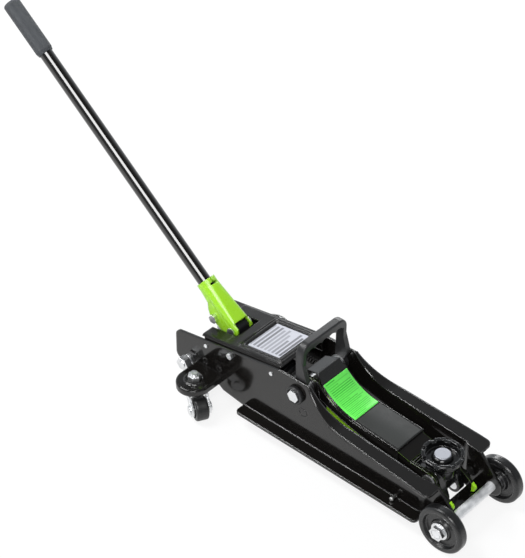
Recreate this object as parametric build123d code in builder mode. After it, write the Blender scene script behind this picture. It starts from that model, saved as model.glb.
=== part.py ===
from build123d import *
import math
import os

# Low-profile hydraulic trolley jack, two-tonne class, standing on its wheels.
# Millimetres, +X towards the saddle, +Z up, the floor at Z = 0, the origin in the
# middle of the overall box.  Distances named "back" run rearwards from the front axle.

os.makedirs("parts", exist_ok=True)

# Clearances
running_gap = 0.06
fit_gap = 0.02
open_pivot_gap = 0.3
side_gap = 0.4

# Front wheels and axle
wheel_radius = 32.0
wheel_width = 14.0
wheel_gap = 6.0
wheel_rim_depth = 7.0
wheel_hub_radius = 13.0
axle_radius = 6.3
axle_nut_height = 6.5
axle_nut_flats = 17.0
washer_thickness = 1.5
tie_plate_rear_back = 26.0
tie_plate_length = 17.5
tie_plate_low_z = 21.0
tie_plate_thickness = 5.0
washer_radius = 11.5

# Side plates
plate_thickness = 3.5
plate_inner_y = 42.0
joggle_depth = 2.5
joggle_start_back = 44.0
joggle_end_back = 38.0
plate_bottom_z = 20.0
plate_rear_back = 443.5
plate_rear_top_z = 80.5
ear_radius = 14.0
flange_width = 18.0
flange_rear_back = 324.5
flange_front_back = 35.5
flange_corner = 6.0
ledge_front_back = 19.5
ledge_front_z = 74.0
ledge_slope = 4.0
shoulder_start_back = 161.5
shoulder_radius = 78.0
shoulder_turn = 49.0
ledge_waist_back = 144.5
ledge_waist_width = 14.0
cover_front_back = 268.5
cover_front_z = 113.0
cover_slope = 9.6

# Lift arm, saddle and level linkage
arm_pivot_back = 238.5
arm_pivot_z = 92.0
arm_shaft_radius = 9.0
saddle_back = 47.0
saddle_pin_z = 55.0
saddle_pin_radius = 7.0
lift_angle = 75.0
arm_outer_y = 24.0
arm_cheek = 4.0
arm_hub_radius = 13.5
arm_nose_radius = 11.0
nose_half_width = 5.8
nose_tip_gap = 15.5
arm_cover_drop = 4.5
arm_cover_thickness = 2.5
arm_cover_lip = 1.6
arm_cover_lip_height = 9.2
arm_cover_lip_ends = 14.5
arm_cover_front_back = 100.0
link_arm = 26.0
link_inner_y = 28.5
link_thickness = 5.0
link_half_width = 8.0
link_pin_radius = 6.0
saddle_radius = 26.6
saddle_top_z = 85.0
saddle_seat_z = 70.0
saddle_stem_radius = 10.0
saddle_skirt_radius = 21.0
saddle_teeth = 8

# Ram and pump unit
lever_radius = 38.0
ram_roller_radius = 9.0
ram_roller_gap = 1.0
ram_roller_pin_radius = 5.0
ram_radius = 15.0
ram_nose_radius = 12.0
ram_axis_z = 57.0
ram_insert = 66.0
cylinder_wall = 3.0
reservoir_radius = 24.0
reservoir_wall = 2.5
cylinder_front_back = 288.5
gland_length = 6.0
block_front_back = 356.5
block_rear_back = 409.5
block_half_width = 28.0
block_bottom_z = 22.0
block_top_z = 78.0
plunger_deck_z = 66.0
plunger_radius = 6.0
plunger_head_radius = 8.5
plunger_head_height = 3.0
plunger_back = 402.2
plunger_bottom_z = 40.0
plunger_roller_gap = 0.8
spring_y = 31.0
spring_z = 50.0

# Handle socket and handle; local z runs up the handle from the hinge
handle_angle = 39.3
hinge_back = 374.5
hinge_z = 95.0
hinge_pin_radius = 4.0
socket_axis_offset = 5.5
socket_radius = 13.0
socket_rim = 73.2
socket_half_width = 14.6
socket_cheek = 3.4
pump_roller_radius = 8.0
pump_roller_x = -8.0
pump_roller_rise = 27.0
roller_bolt_radius = 3.0
handle_radius = 9.1
handle_wall = 1.5
handle_foot = 38.0
handle_end = 508.0
grip_radius = 11.5
grip_length = 80.0
grip_round = 4.0

# Rear end: castors, tie rod, cover, carry handle
castor_back = 385.0
castor_reach = 28.0
castor_plate_offset = 1.0
castor_plate_z = 47.5
castor_plate_radius = 23.0
castor_plate_rim = 9.0
castor_relief_z = 36.0
castor_cup_radius = 15.0
castor_wheel_radius = 16.0
castor_wheel_width = 17.0
castor_trail = 21.0
castor_yaw = -28.0
tie_rod_back = 418.5
tie_rod_z = 45.0
tie_rod_radius = 5.0
cover_thickness = 2.5
cover_length = 134.0
cover_side_gap = 0.7
cover_slot_half_width = 21.5
cover_slot_length = 42.0
carry_top_z = 165.0
carry_bar_height = 13.0
carry_depth = 12.0
carry_leg = 7.2
carry_flare = 7.0

# Worked-out places
handle_tilt = math.radians(handle_angle)
reach = (
    hinge_back
    + socket_axis_offset * math.sin(handle_tilt)
    + (handle_end - grip_round) * math.cos(handle_tilt)
    + (grip_radius - grip_round) * math.sin(handle_tilt)
    + grip_round
)
axle_x = (reach - wheel_radius) / 2
axle_z = wheel_radius
plate_outer_y = plate_inner_y + plate_thickness
ear_inner_y = plate_inner_y - joggle_depth
ear_outer_y = plate_outer_y - joggle_depth
flange_outer_y = plate_outer_y + flange_width
ledge_waist_y = plate_outer_y + ledge_waist_width
wheel_mid_y = ear_outer_y + wheel_gap + wheel_width / 2
wheel_outer_y = wheel_mid_y + wheel_width / 2
wheel_inner_y = wheel_mid_y - wheel_width / 2


def at_back(back):
    """X of a place that lies this far behind the front axle."""
    return axle_x - back


def xz_plane(y):
    """Upright sketch plane at this Y: sketch x is X, sketch y is Z, extrusion runs to -Y."""
    return Plane(origin=(0, y, 0), x_dir=(1, 0, 0), z_dir=(0, -1, 0))


def yz_plane(x):
    """Upright sketch plane at this X: sketch x is Y, sketch y is Z, extrusion runs to +X."""
    return Plane(origin=(x, 0, 0), x_dir=(0, 1, 0), z_dir=(1, 0, 0))


def cross_cylinder(x, z, radius, y_low, y_high, mode=Mode.ADD):
    """Cylinder along Y between two heights of Y."""
    with BuildSketch(xz_plane(y_high)) as disc:
        with Locations((x, z)):
            Circle(radius)
    extrude(disc.sketch, amount=y_high - y_low, mode=mode)


def cross_hexagon(x, z, flats, y_low, y_high):
    """Hexagon prism along Y, given its width across flats."""
    with BuildSketch(xz_plane(y_high)) as hexagon:
        with Locations((x, z)):
            RegularPolygon(flats / 2, 6, major_radius=False)
    extrude(hexagon.sketch, amount=y_high - y_low)


def upright_cylinder(x, y, radius, z_low, z_high, mode=Mode.ADD):
    """Cylinder along Z between two heights."""
    with BuildSketch(Plane.XY.offset(z_low)) as disc:
        with Locations((x, y)):
            Circle(radius)
    extrude(disc.sketch, amount=z_high - z_low, mode=mode)


def save(piece, name):
    """Label a finished piece and write it as one STEP file."""
    piece.part.label = name
    export_step(piece.part, f"parts/{name}.step")


arm_pivot = (at_back(arm_pivot_back), arm_pivot_z)
saddle_pivot = (at_back(saddle_back), saddle_pin_z)
arm_rest = math.atan2(saddle_pivot[1] - arm_pivot[1], saddle_pivot[0] - arm_pivot[0])
arm_middle = arm_rest + math.radians(lift_angle) / 2
link_dx = link_arm * math.sin(arm_middle)
link_dz = -link_arm * math.cos(arm_middle)
link_foot = (arm_pivot[0] + link_dx, arm_pivot[1] + link_dz)
link_head = (saddle_pivot[0] + link_dx, saddle_pivot[1] + link_dz)
lever_lean = math.radians(lift_angle) / 2
ram_roller = (
    arm_pivot[0] - lever_radius * math.sin(lever_lean),
    arm_pivot[1] - lever_radius * math.cos(lever_lean),
)
ram_face_x = ram_roller[0] - ram_roller_radius - ram_roller_gap
hinge = (at_back(hinge_back), hinge_z)
socket_up = (-math.cos(handle_tilt), math.sin(handle_tilt))
socket_front = (math.sin(handle_tilt), math.cos(handle_tilt))
socket_origin = (
    hinge[0] - socket_axis_offset * socket_front[0],
    hinge[1] - socket_axis_offset * socket_front[1],
)
pump_roller_centre = (
    socket_origin[0] + pump_roller_x * socket_front[0] + pump_roller_rise * socket_up[0],
    socket_origin[1] + pump_roller_x * socket_front[1] + pump_roller_rise * socket_up[1],
)
plunger_top_z = pump_roller_centre[1] - pump_roller_radius - plunger_roller_gap
castor_x = at_back(castor_back)
castor_y = plate_outer_y + castor_reach
castor_plate_y = castor_y + castor_plate_offset

# Outline of the plates' top: a sloping ledge line, then a hollow shoulder arc
slope = math.radians(ledge_slope)
shoulder_start = (
    at_back(shoulder_start_back),
    ledge_front_z + (shoulder_start_back - ledge_front_back) * math.tan(slope),
)
shoulder_centre = (
    shoulder_start[0] + shoulder_radius * math.sin(slope),
    shoulder_start[1] + shoulder_radius * math.cos(slope),
)


def shoulder_point(radius, turn):
    """Point of an arc about the shoulder's centre, this many degrees past its start."""
    angle = slope + math.radians(turn)
    return (
        shoulder_centre[0] - radius * math.sin(angle),
        shoulder_centre[1] - radius * math.cos(angle),
    )


def ledge_line(radius, x):
    """Height of the sloping line that meets the arc of this radius, at this X."""
    foot = shoulder_point(radius, 0)
    return foot[1] - (x - foot[0]) * math.tan(slope)


# Fasteners that pass through the side plates: x, z and hole radius
cover_screw_places = [(at_back(390.0), 82.5), (at_back(279.5), 101.3)]
cover_bolt_place = (at_back(347.5), 91.0)
cover_screw_radius = 1.8
cover_bolt_radius = 3.0
pump_bolt_places = [(at_back(392.0), 57.0), (at_back(368.0), 57.0)]
pump_bolt_radius = 4.0
carry_bolt_radius = 5.0
plate_holes = [
    (axle_x, axle_z, axle_radius),
    (at_back(tie_rod_back), tie_rod_z, tie_rod_radius),
    (arm_pivot[0], arm_pivot[1], carry_bolt_radius),
    (link_foot[0], link_foot[1], link_pin_radius),
    (cover_bolt_place[0], cover_bolt_place[1], cover_bolt_radius),
]
plate_holes += [(x, z, cover_screw_radius) for x, z in cover_screw_places]
plate_holes += [(x, z, pump_bolt_radius) for x, z in pump_bolt_places]

# Ledge along the top of the front half of a side plate
ledge_front = (at_back(ledge_front_back), ledge_front_z)
shoulder_top = shoulder_point(shoulder_radius, shoulder_turn)
ledge_under = shoulder_radius + plate_thickness
with BuildPart() as ledge:
    with BuildSketch(xz_plane(flange_outer_y)):
        with BuildLine():
            Line(ledge_front, shoulder_start)
            ThreePointArc(shoulder_start, shoulder_point(shoulder_radius, shoulder_turn / 2), shoulder_top)
            Line(shoulder_top, shoulder_point(ledge_under, shoulder_turn))
            ThreePointArc(
                shoulder_point(ledge_under, shoulder_turn),
                shoulder_point(ledge_under, shoulder_turn / 2),
                shoulder_point(ledge_under, 0),
            )
            Polyline(
                shoulder_point(ledge_under, 0),
                (ledge_front[0], ledge_line(ledge_under, ledge_front[0])),
                ledge_front,
            )
        make_face()
    extrude(amount=flange_outer_y - plate_inner_y)
    with BuildSketch(Plane.XY):
        with BuildLine():
            Polyline(
                (shoulder_top[0] - 5, plate_inner_y),
                (ledge_front[0], plate_inner_y),
                (ledge_front[0], flange_outer_y),
                (ledge_front[0] - 20, flange_outer_y),
                (at_back(ledge_waist_back), ledge_waist_y),
            )
            ThreePointArc(
                (at_back(ledge_waist_back), ledge_waist_y),
                (at_back(ledge_waist_back + 44), ledge_waist_y - 5),
                (shoulder_top[0] - 2, plate_outer_y),
            )
            Polyline(
                (shoulder_top[0] - 2, plate_outer_y),
                (shoulder_top[0] - 5, plate_outer_y),
                (shoulder_top[0] - 5, plate_inner_y),
            )
        make_face()
    extrude(amount=2 * cover_front_z, mode=Mode.INTERSECT)
    ledge_corner = ledge.edges().filter_by(Axis.Z).sort_by(lambda e: e.center().X + e.center().Y)[-1]
    fillet(ledge_corner, radius=flange_corner + 2)

ear_to_ledge = math.atan2(ledge_front[1] - axle_z, ledge_front[0] - axle_x)
ear_tangent = ear_to_ledge - math.acos(ear_radius / math.dist(ledge_front, (axle_x, axle_z)))
ear_point = (axle_x + ear_radius * math.cos(ear_tangent), axle_z + ear_radius * math.sin(ear_tangent))
plate_rear_x = at_back(plate_rear_back)
with BuildPart() as side_plate_right:
    with BuildSketch(Plane.XY):
        with BuildLine():
            Polyline(
                (plate_rear_x, plate_inner_y),
                (at_back(joggle_start_back), plate_inner_y),
                (at_back(joggle_end_back), ear_inner_y),
                (axle_x + 2 * ear_radius, ear_inner_y),
                (axle_x + 2 * ear_radius, ear_outer_y),
                (at_back(joggle_end_back), ear_outer_y),
                (at_back(joggle_start_back), plate_outer_y),
                (plate_rear_x, plate_outer_y),
                close=True,
            )
        make_face()
    extrude(amount=2 * cover_front_z)
    with BuildSketch(xz_plane(plate_outer_y)):
        with BuildLine():
            Line(ledge_front, shoulder_start)
            ThreePointArc(shoulder_start, shoulder_point(shoulder_radius, shoulder_turn / 2), shoulder_top)
            Polyline(
                shoulder_top,
                (at_back(cover_front_back), cover_front_z),
                (plate_rear_x, plate_rear_top_z),
                (plate_rear_x, castor_relief_z),
                (castor_x + 8, castor_relief_z),
                (castor_x + 24, castor_relief_z - 11),
                (at_back(flange_rear_back), plate_bottom_z),
                (at_back(flange_front_back), plate_bottom_z),
                (axle_x, axle_z - ear_radius),
                ear_point,
                ledge_front,
            )
        make_face()
        with Locations((axle_x, axle_z)):
            Circle(ear_radius)
    extrude(amount=plate_outer_y - ear_inner_y, mode=Mode.INTERSECT)
    rear_corners = side_plate_right.edges().filter_by(Axis.Y).group_by(Axis.X)[0]
    fillet(rear_corners, radius=9)
    add(ledge.part)
    with BuildSketch(Plane.XY.offset(plate_bottom_z)):
        with BuildLine():
            Polyline(
                (at_back(flange_rear_back), plate_inner_y + plate_thickness / 2),
                (at_back(flange_rear_back), flange_outer_y),
                (at_back(flange_front_back), flange_outer_y),
                (at_back(flange_front_back), ear_outer_y - 1),
                (at_back(joggle_end_back), ear_outer_y - 1),
                (at_back(joggle_start_back), plate_inner_y + plate_thickness / 2),
                close=True,
            )
        flange_face = make_face()
        fillet(flange_face.vertices().group_by(Axis.Y)[-1], radius=flange_corner)
    extrude(amount=plate_thickness)
    for hole_x, hole_z, hole_radius in plate_holes:
        cross_cylinder(hole_x, hole_z, hole_radius + fit_gap, 0, 2 * flange_outer_y, mode=Mode.SUBTRACT)
with BuildPart() as side_plate_left:
    mirror(side_plate_right.part, about=Plane.XZ)
save(side_plate_right, "side_plate_right")
save(side_plate_left, "side_plate_left")

# Front axle with its collars and flanged nuts
axle_end_y = wheel_outer_y + axle_nut_height
hub_face_y = wheel_outer_y - washer_thickness
with BuildPart() as front_axle:
    cross_cylinder(axle_x, axle_z, axle_radius, -axle_end_y, axle_end_y)
    chamfer(front_axle.edges().filter_by(GeomType.CIRCLE), length=1)
save(front_axle, "front_axle")

with BuildPart() as axle_collars:
    cross_cylinder(axle_x, axle_z, 10, ear_outer_y, wheel_inner_y - side_gap)
    cross_cylinder(axle_x, axle_z, axle_radius + fit_gap, 0, axle_end_y, mode=Mode.SUBTRACT)
    mirror(about=Plane.XZ)
save(axle_collars, "axle_collars")

with BuildPart() as axle_nuts:
    cross_cylinder(axle_x, axle_z, washer_radius, hub_face_y, wheel_outer_y)
    cross_hexagon(axle_x, axle_z, axle_nut_flats, wheel_outer_y, axle_end_y)
    cross_cylinder(axle_x, axle_z, axle_radius + fit_gap, 0, 2 * axle_end_y, mode=Mode.SUBTRACT)
    mirror(about=Plane.XZ)
save(axle_nuts, "axle_nuts")

# Tie plate between the plates' front ears, just behind the axle
with BuildPart() as front_tie_plate:
    with BuildSketch(Plane.XY.offset(tie_plate_low_z)):
        with Locations((at_back(tie_plate_rear_back - tie_plate_length / 2), 0)):
            Rectangle(tie_plate_length, 2 * ear_inner_y)
    extrude(amount=tie_plate_thickness)
save(front_tie_plate, "front_tie_plate")

# Front wheels: a crowned tyre ring, a thin dished disc and a hub, turned in one piece
rim_inner_radius = wheel_radius - wheel_rim_depth
hub_outer_y = hub_face_y - side_gap
with BuildPart() as front_wheel_right:
    with BuildSketch(Plane(origin=(axle_x, 0, axle_z), x_dir=(1, 0, 0), z_dir=(0, 0, 1))):
        with BuildLine():
            Polyline(
                (axle_radius + running_gap, wheel_inner_y),
                (axle_radius + running_gap, hub_outer_y),
                (wheel_hub_radius, hub_outer_y),
                (wheel_hub_radius + 2, wheel_mid_y + 2),
                (rim_inner_radius - 2, wheel_mid_y + 2),
                (rim_inner_radius, wheel_outer_y),
                (wheel_radius - 3, wheel_outer_y),
            )
            ThreePointArc(
                (wheel_radius - 3, wheel_outer_y),
                (wheel_radius - 0.7, wheel_outer_y - 1.5),
                (wheel_radius, wheel_mid_y + 3),
            )
            Line((wheel_radius, wheel_mid_y + 3), (wheel_radius, wheel_mid_y - 3))
            ThreePointArc(
                (wheel_radius, wheel_mid_y - 3),
                (wheel_radius - 0.7, wheel_inner_y + 1.5),
                (wheel_radius - 3, wheel_inner_y),
            )
            Polyline(
                (wheel_radius - 3, wheel_inner_y),
                (rim_inner_radius, wheel_inner_y),
                (rim_inner_radius - 2, wheel_mid_y - 2),
                (wheel_hub_radius + 2, wheel_mid_y - 2),
                (wheel_hub_radius, wheel_inner_y),
                (axle_radius + running_gap, wheel_inner_y),
            )
        make_face()
    revolve(axis=Axis((axle_x, 0, axle_z), (0, 1, 0)))
with BuildPart() as front_wheel_left:
    mirror(front_wheel_right.part, about=Plane.XZ)
save(front_wheel_right, "front_wheel_right")
save(front_wheel_left, "front_wheel_left")

# Rear tie rod, stepped between the plates, and its nuts
tie_x = at_back(tie_rod_back)
tie_nut_flats = 17.0
lock_nut_y = plate_outer_y + 4.5
tie_nut_y = lock_nut_y + 2.5
tie_end_y = tie_nut_y + 10
with BuildPart() as rear_tie_rod:
    cross_cylinder(tie_x, tie_rod_z, tie_rod_radius, -tie_end_y, tie_end_y)
    cross_cylinder(tie_x, tie_rod_z, tie_rod_radius + 2, -plate_inner_y, plate_inner_y)
save(rear_tie_rod, "rear_tie_rod")
with BuildPart() as tie_rod_nuts:
    cross_hexagon(tie_x, tie_rod_z, tie_nut_flats - 3, plate_outer_y, lock_nut_y)
    cross_hexagon(tie_x, tie_rod_z, tie_nut_flats, tie_nut_y, tie_end_y - 1)
    cross_cylinder(
        tie_x, tie_rod_z, tie_rod_radius + fit_gap, 0, 2 * tie_end_y, mode=Mode.SUBTRACT
    )
    mirror(about=Plane.XZ)
save(tie_rod_nuts, "tie_rod_nuts")

# Castor brackets: D-shaped pressings with a turned-down rim and a raised ring
castor_stud_radius = 5.0
with BuildPart() as castor_bracket_right:
    for inset, z_low, z_high, mode in (
        (0, castor_plate_z - castor_plate_rim, castor_plate_z, Mode.ADD),
        (
            plate_thickness,
            castor_plate_z - castor_plate_rim,
            castor_plate_z - plate_thickness,
            Mode.SUBTRACT,
        ),
    ):
        half = castor_plate_radius - inset
        with BuildSketch(Plane.XY.offset(z_low)):
            with Locations((castor_x, castor_plate_y)):
                Circle(half)
            with Locations((castor_x, (plate_outer_y + castor_plate_y) / 2)):
                Rectangle(2 * half, castor_plate_y - plate_outer_y)
        extrude(amount=z_high - z_low, mode=mode)
    top_rim = castor_bracket_right.edges().filter_by(lambda e: abs(e.center().Z - castor_plate_z) < 0.01)
    fillet(top_rim.filter_by(lambda e: e.center().Y > plate_outer_y + 1), radius=2.5)
    upright_cylinder(castor_x, castor_y, 13, castor_plate_z, castor_plate_z + 1.5)
    upright_cylinder(castor_x, castor_y, 10.5, castor_plate_z, castor_plate_z + 3, mode=Mode.SUBTRACT)
    upright_cylinder(
        castor_x, castor_y, castor_stud_radius + fit_gap, 0, 2 * castor_plate_z, mode=Mode.SUBTRACT
    )
with BuildPart() as castor_bracket_left:
    mirror(castor_bracket_right.part, about=Plane.XZ)
save(castor_bracket_right, "castor_bracket_right")
save(castor_bracket_left, "castor_bracket_left")

# Castors: stud with nut, bearing cup, fork, axle and wheel
fork_top_z = castor_plate_z - plate_thickness - 4.5
fork_plate = 4.0
fork_half_gap = castor_wheel_width / 2 + 1.5
fork_cheek = 3.0
stud_head_z = fork_top_z - fork_plate - side_gap
castor_turn = math.radians(-castor_yaw)
castor_axis = Vector(-math.sin(castor_turn), math.cos(castor_turn), 0)
trail_axis = Vector(math.cos(castor_turn), math.sin(castor_turn), 0)
castor_centre = Vector(castor_x, castor_y, castor_wheel_radius) + trail_axis * castor_trail
castor_side = Plane(origin=castor_centre, x_dir=trail_axis, z_dir=-castor_axis)
castor_pin_radius = 4.0

with BuildPart() as castor_studs:
    upright_cylinder(castor_x, castor_y, castor_stud_radius, stud_head_z - 4, castor_plate_z + 11)
    upright_cylinder(castor_x, castor_y, castor_stud_radius + 3.5, stud_head_z - 4, stud_head_z)
    mirror(about=Plane.XZ)
save(castor_studs, "castor_studs")

with BuildPart() as castor_nuts:
    with BuildSketch(Plane.XY.offset(castor_plate_z)):
        with Locations((castor_x, castor_y)):
            RegularPolygon(7.5, 6, major_radius=False)
            Circle(castor_stud_radius + fit_gap, mode=Mode.SUBTRACT)
    extrude(amount=8)
    chamfer(castor_nuts.edges().group_by(Axis.Z)[-1].filter_by(GeomType.LINE), length=0.8)
    mirror(about=Plane.XZ)
save(castor_nuts, "castor_nuts")

with BuildPart() as castor_bearings:
    upright_cylinder(
        castor_x, castor_y, castor_cup_radius, fork_top_z + side_gap, castor_plate_z - plate_thickness
    )
    upright_cylinder(
        castor_x, castor_y, castor_stud_radius + fit_gap, 0, castor_plate_z, mode=Mode.SUBTRACT
    )
    mirror(about=Plane.XZ)
save(castor_bearings, "castor_bearings")

with BuildPart() as castor_fork_right:
    upright_cylinder(castor_x, castor_y, castor_cup_radius + 2, fork_top_z - fork_plate, fork_top_z)
    leg_top = fork_top_z - castor_wheel_radius
    for outer_side in (fork_half_gap + fork_cheek, -fork_half_gap):
        with BuildSketch(castor_side.offset(-outer_side)):
            with BuildLine():
                Polyline(
                    (-castor_trail - 10, leg_top),
                    (-castor_trail + 10, leg_top),
                    (8.5, 4),
                    (8.5, -4),
                    (-8.5, -4),
                    (-8.5, 6),
                    close=True,
                )
            make_face()
            Circle(9)
        extrude(amount=fork_cheek)
    with BuildSketch(castor_side):
        Circle(castor_pin_radius + fit_gap)
    extrude(amount=30, both=True, mode=Mode.SUBTRACT)
    upright_cylinder(
        castor_x, castor_y, castor_stud_radius + running_gap, stud_head_z - 1, fork_top_z + 1, mode=Mode.SUBTRACT
    )
with BuildPart() as castor_fork_left:
    mirror(castor_fork_right.part, about=Plane.XZ)
save(castor_fork_right, "castor_fork_right")
save(castor_fork_left, "castor_fork_left")

with BuildPart() as castor_pin_right:
    with BuildSketch(castor_side):
        Circle(castor_pin_radius)
    extrude(amount=fork_half_gap + fork_cheek, both=True)
    for outer_side in (-1, 1):
        with BuildSketch(castor_side.offset(outer_side * (fork_half_gap + fork_cheek))):
            Circle(castor_pin_radius + 2)
        extrude(amount=outer_side * 2.0)
with BuildPart() as castor_pin_left:
    mirror(castor_pin_right.part, about=Plane.XZ)
save(castor_pin_right, "castor_pin_right")
save(castor_pin_left, "castor_pin_left")

with BuildPart() as castor_wheel_right:
    with BuildSketch(castor_side):
        Circle(castor_wheel_radius)
    extrude(amount=castor_wheel_width / 2, both=True)
    fillet(castor_wheel_right.edges().filter_by(GeomType.CIRCLE), radius=3)
    for outer_side in (-1, 1):
        with BuildSketch(castor_side.offset(outer_side * castor_wheel_width / 2)):
            Circle(castor_wheel_radius - 5)
            Circle(7.5, mode=Mode.SUBTRACT)
        extrude(amount=-outer_side * 2.0, mode=Mode.SUBTRACT)
    with BuildSketch(castor_side):
        Circle(castor_pin_radius + running_gap)
    extrude(amount=castor_wheel_width, both=True, mode=Mode.SUBTRACT)
with BuildPart() as castor_wheel_left:
    mirror(castor_wheel_right.part, about=Plane.XZ)
save(castor_wheel_right, "castor_wheel_right")
save(castor_wheel_left, "castor_wheel_left")

# Rear cover: tilted pressing with a double rim, side skirts and a slot for the socket
cover_half = plate_inner_y - cover_side_gap
cover_tilt = math.radians(cover_slope)
cover_plane = Plane(
    origin=(at_back(cover_front_back), 0, cover_front_z),
    x_dir=(math.cos(cover_tilt), 0, math.sin(cover_tilt)),
    z_dir=(-math.sin(cover_tilt), 0, math.cos(cover_tilt)),
)
skirt_depth = 22.0
rim_length = 74.0
rim_width = 73.0
plate_recess = (60.0, 61.0)
rating_size = (53.0, 56.0)
rim_middle = -3 - rim_length / 2
with BuildPart() as rear_cover:
    with BuildSketch(cover_plane):
        with Locations((-cover_length / 2, 0)):
            Rectangle(cover_length, 2 * cover_half)
    extrude(amount=cover_thickness)
    with BuildSketch(cover_plane):
        with GridLocations(0, 2 * cover_half - cover_thickness, 1, 2):
            with Locations((-cover_length / 2, 0)):
                Rectangle(cover_length - 8, cover_thickness)
    extrude(amount=-skirt_depth)
    top_edges = rear_cover.edges().filter_by(Axis(cover_plane.origin, cover_plane.x_dir))
    fillet(top_edges.group_by(Axis(cover_plane.origin, cover_plane.z_dir))[-1], radius=3.5)
    with BuildSketch(cover_plane.offset(cover_thickness)):
        with Locations((rim_middle, 0)):
            RectangleRounded(rim_length, rim_width, 5)
            RectangleRounded(rim_length - 4, rim_width - 4, 4, mode=Mode.SUBTRACT)
            RectangleRounded(rim_length - 7, rim_width - 7, 3.5)
            RectangleRounded(plate_recess[0], plate_recess[1], 3, mode=Mode.SUBTRACT)
    extrude(amount=1.6)
    with BuildSketch(cover_plane.offset(-skirt_depth)):
        with Locations((-cover_length + cover_slot_length / 2, 0)):
            Rectangle(cover_slot_length + 1, 2 * cover_slot_half_width)
    extrude(amount=2 * skirt_depth, mode=Mode.SUBTRACT)
    for hole_x, hole_z in cover_screw_places:
        cross_cylinder(
            hole_x, hole_z, cover_screw_radius + fit_gap, -plate_outer_y, plate_outer_y, mode=Mode.SUBTRACT
        )
    cross_cylinder(
        *cover_bolt_place, cover_bolt_radius + fit_gap, -plate_outer_y, plate_outer_y, mode=Mode.SUBTRACT
    )
save(rear_cover, "rear_cover")

with BuildPart() as rating_plate:
    with BuildSketch(cover_plane.offset(cover_thickness)):
        with Locations((rim_middle, 0)):
            RectangleRounded(rating_size[0], rating_size[1], 1)
    extrude(amount=0.6)
save(rating_plate, "rating_plate")

with BuildPart() as cover_screws:
    for screw_x, screw_z in cover_screw_places:
        cross_cylinder(screw_x, screw_z, cover_screw_radius, cover_half - 6, plate_outer_y)
        cross_cylinder(screw_x, screw_z, cover_screw_radius + 1.0, plate_outer_y, plate_outer_y + 1.4)
    cross_cylinder(*cover_bolt_place, cover_bolt_radius, cover_half - 6, plate_outer_y)
    cross_hexagon(*cover_bolt_place, 2 * cover_bolt_radius + 2, plate_outer_y, plate_outer_y + 4)
    mirror(about=Plane.XZ)
save(cover_screws, "cover_screws")

# Arm shaft, its bushes, and the carry handle bolted on the shaft's ends
foot_outer_y = plate_inner_y
foot_inner_y = foot_outer_y - carry_leg
shaft_end_y = foot_inner_y
bolt_inner_y = shaft_end_y - 14
with BuildPart() as arm_shaft:
    cross_cylinder(*arm_pivot, arm_shaft_radius, -shaft_end_y, shaft_end_y)
    for end in (-shaft_end_y, bolt_inner_y):
        cross_cylinder(
            *arm_pivot, carry_bolt_radius + fit_gap, end, end + 14, mode=Mode.SUBTRACT
        )
save(arm_shaft, "arm_shaft")

with BuildPart() as arm_bushes:
    cross_cylinder(*arm_pivot, arm_shaft_radius + 2.5, arm_outer_y + side_gap, shaft_end_y)
    cross_cylinder(*arm_pivot, arm_shaft_radius + fit_gap, 0, plate_outer_y, mode=Mode.SUBTRACT)
    mirror(about=Plane.XZ)
save(arm_bushes, "arm_bushes")

finger_count = 5
finger_radius = 9.0
finger_pitch = 12.6
carry_plane = yz_plane(arm_pivot[0])
with BuildPart() as carry_handle:
    bar_low_z = carry_top_z - carry_bar_height
    with BuildSketch(carry_plane):
        with BuildLine():
            Polyline(
                (foot_outer_y, arm_pivot_z),
                (foot_outer_y, carry_top_z),
                (-foot_outer_y, carry_top_z),
                (-foot_outer_y, arm_pivot_z),
                (-foot_inner_y, arm_pivot_z),
                (-foot_inner_y, bar_low_z),
                (foot_inner_y, bar_low_z),
                (foot_inner_y, arm_pivot_z),
                close=True,
            )
        bail_face = make_face()
        bail_corners = bail_face.vertices().group_by(Axis.Y)
        fillet(bail_corners[-1], radius=14)
        fillet(bail_corners[1], radius=7)
    extrude(amount=carry_depth / 2, both=True)
    with BuildSketch(carry_plane):
        with Locations((0, bar_low_z - finger_radius + 3.5)):
            with GridLocations(finger_pitch, 1, finger_count, 1):
                Circle(finger_radius)
    extrude(amount=carry_depth, both=True, mode=Mode.SUBTRACT)
    bail_sides = carry_handle.faces().filter_by(Axis.X).sort_by(Axis.X)
    fillet(bail_sides[-1].outer_wire().edges().group_by(Axis.Z)[-1], radius=2.5)
    fillet(bail_sides[0].outer_wire().edges().group_by(Axis.Z)[-1], radius=2.5)
    for foot_low in (-foot_outer_y, foot_inner_y):
        cross_cylinder(*arm_pivot, 11, foot_low, foot_low + carry_leg)
        with BuildSketch(xz_plane(foot_low + carry_leg)):
            with BuildLine():
                Polyline(
                    (arm_pivot[0] + carry_depth / 2 - 3, bar_low_z - 6),
                    (arm_pivot[0] + carry_depth / 2 + carry_flare, cover_front_z),
                    (arm_pivot[0] + carry_depth / 2 - 3, arm_pivot_z),
                    close=True,
                )
            make_face()
        extrude(amount=carry_leg)
    cross_cylinder(
        *arm_pivot, carry_bolt_radius + fit_gap, -plate_outer_y, plate_outer_y, mode=Mode.SUBTRACT
    )
save(carry_handle, "carry_handle")

with BuildPart() as carry_bolts:
    cross_cylinder(*arm_pivot, carry_bolt_radius, bolt_inner_y + 1, plate_outer_y)
    cross_cylinder(*arm_pivot, 9, plate_outer_y, plate_outer_y + 1.5)
    cross_hexagon(*arm_pivot, 15, plate_outer_y + 1.5, plate_outer_y + 7)
    mirror(about=Plane.XZ)
save(carry_bolts, "carry_bolts")

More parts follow.
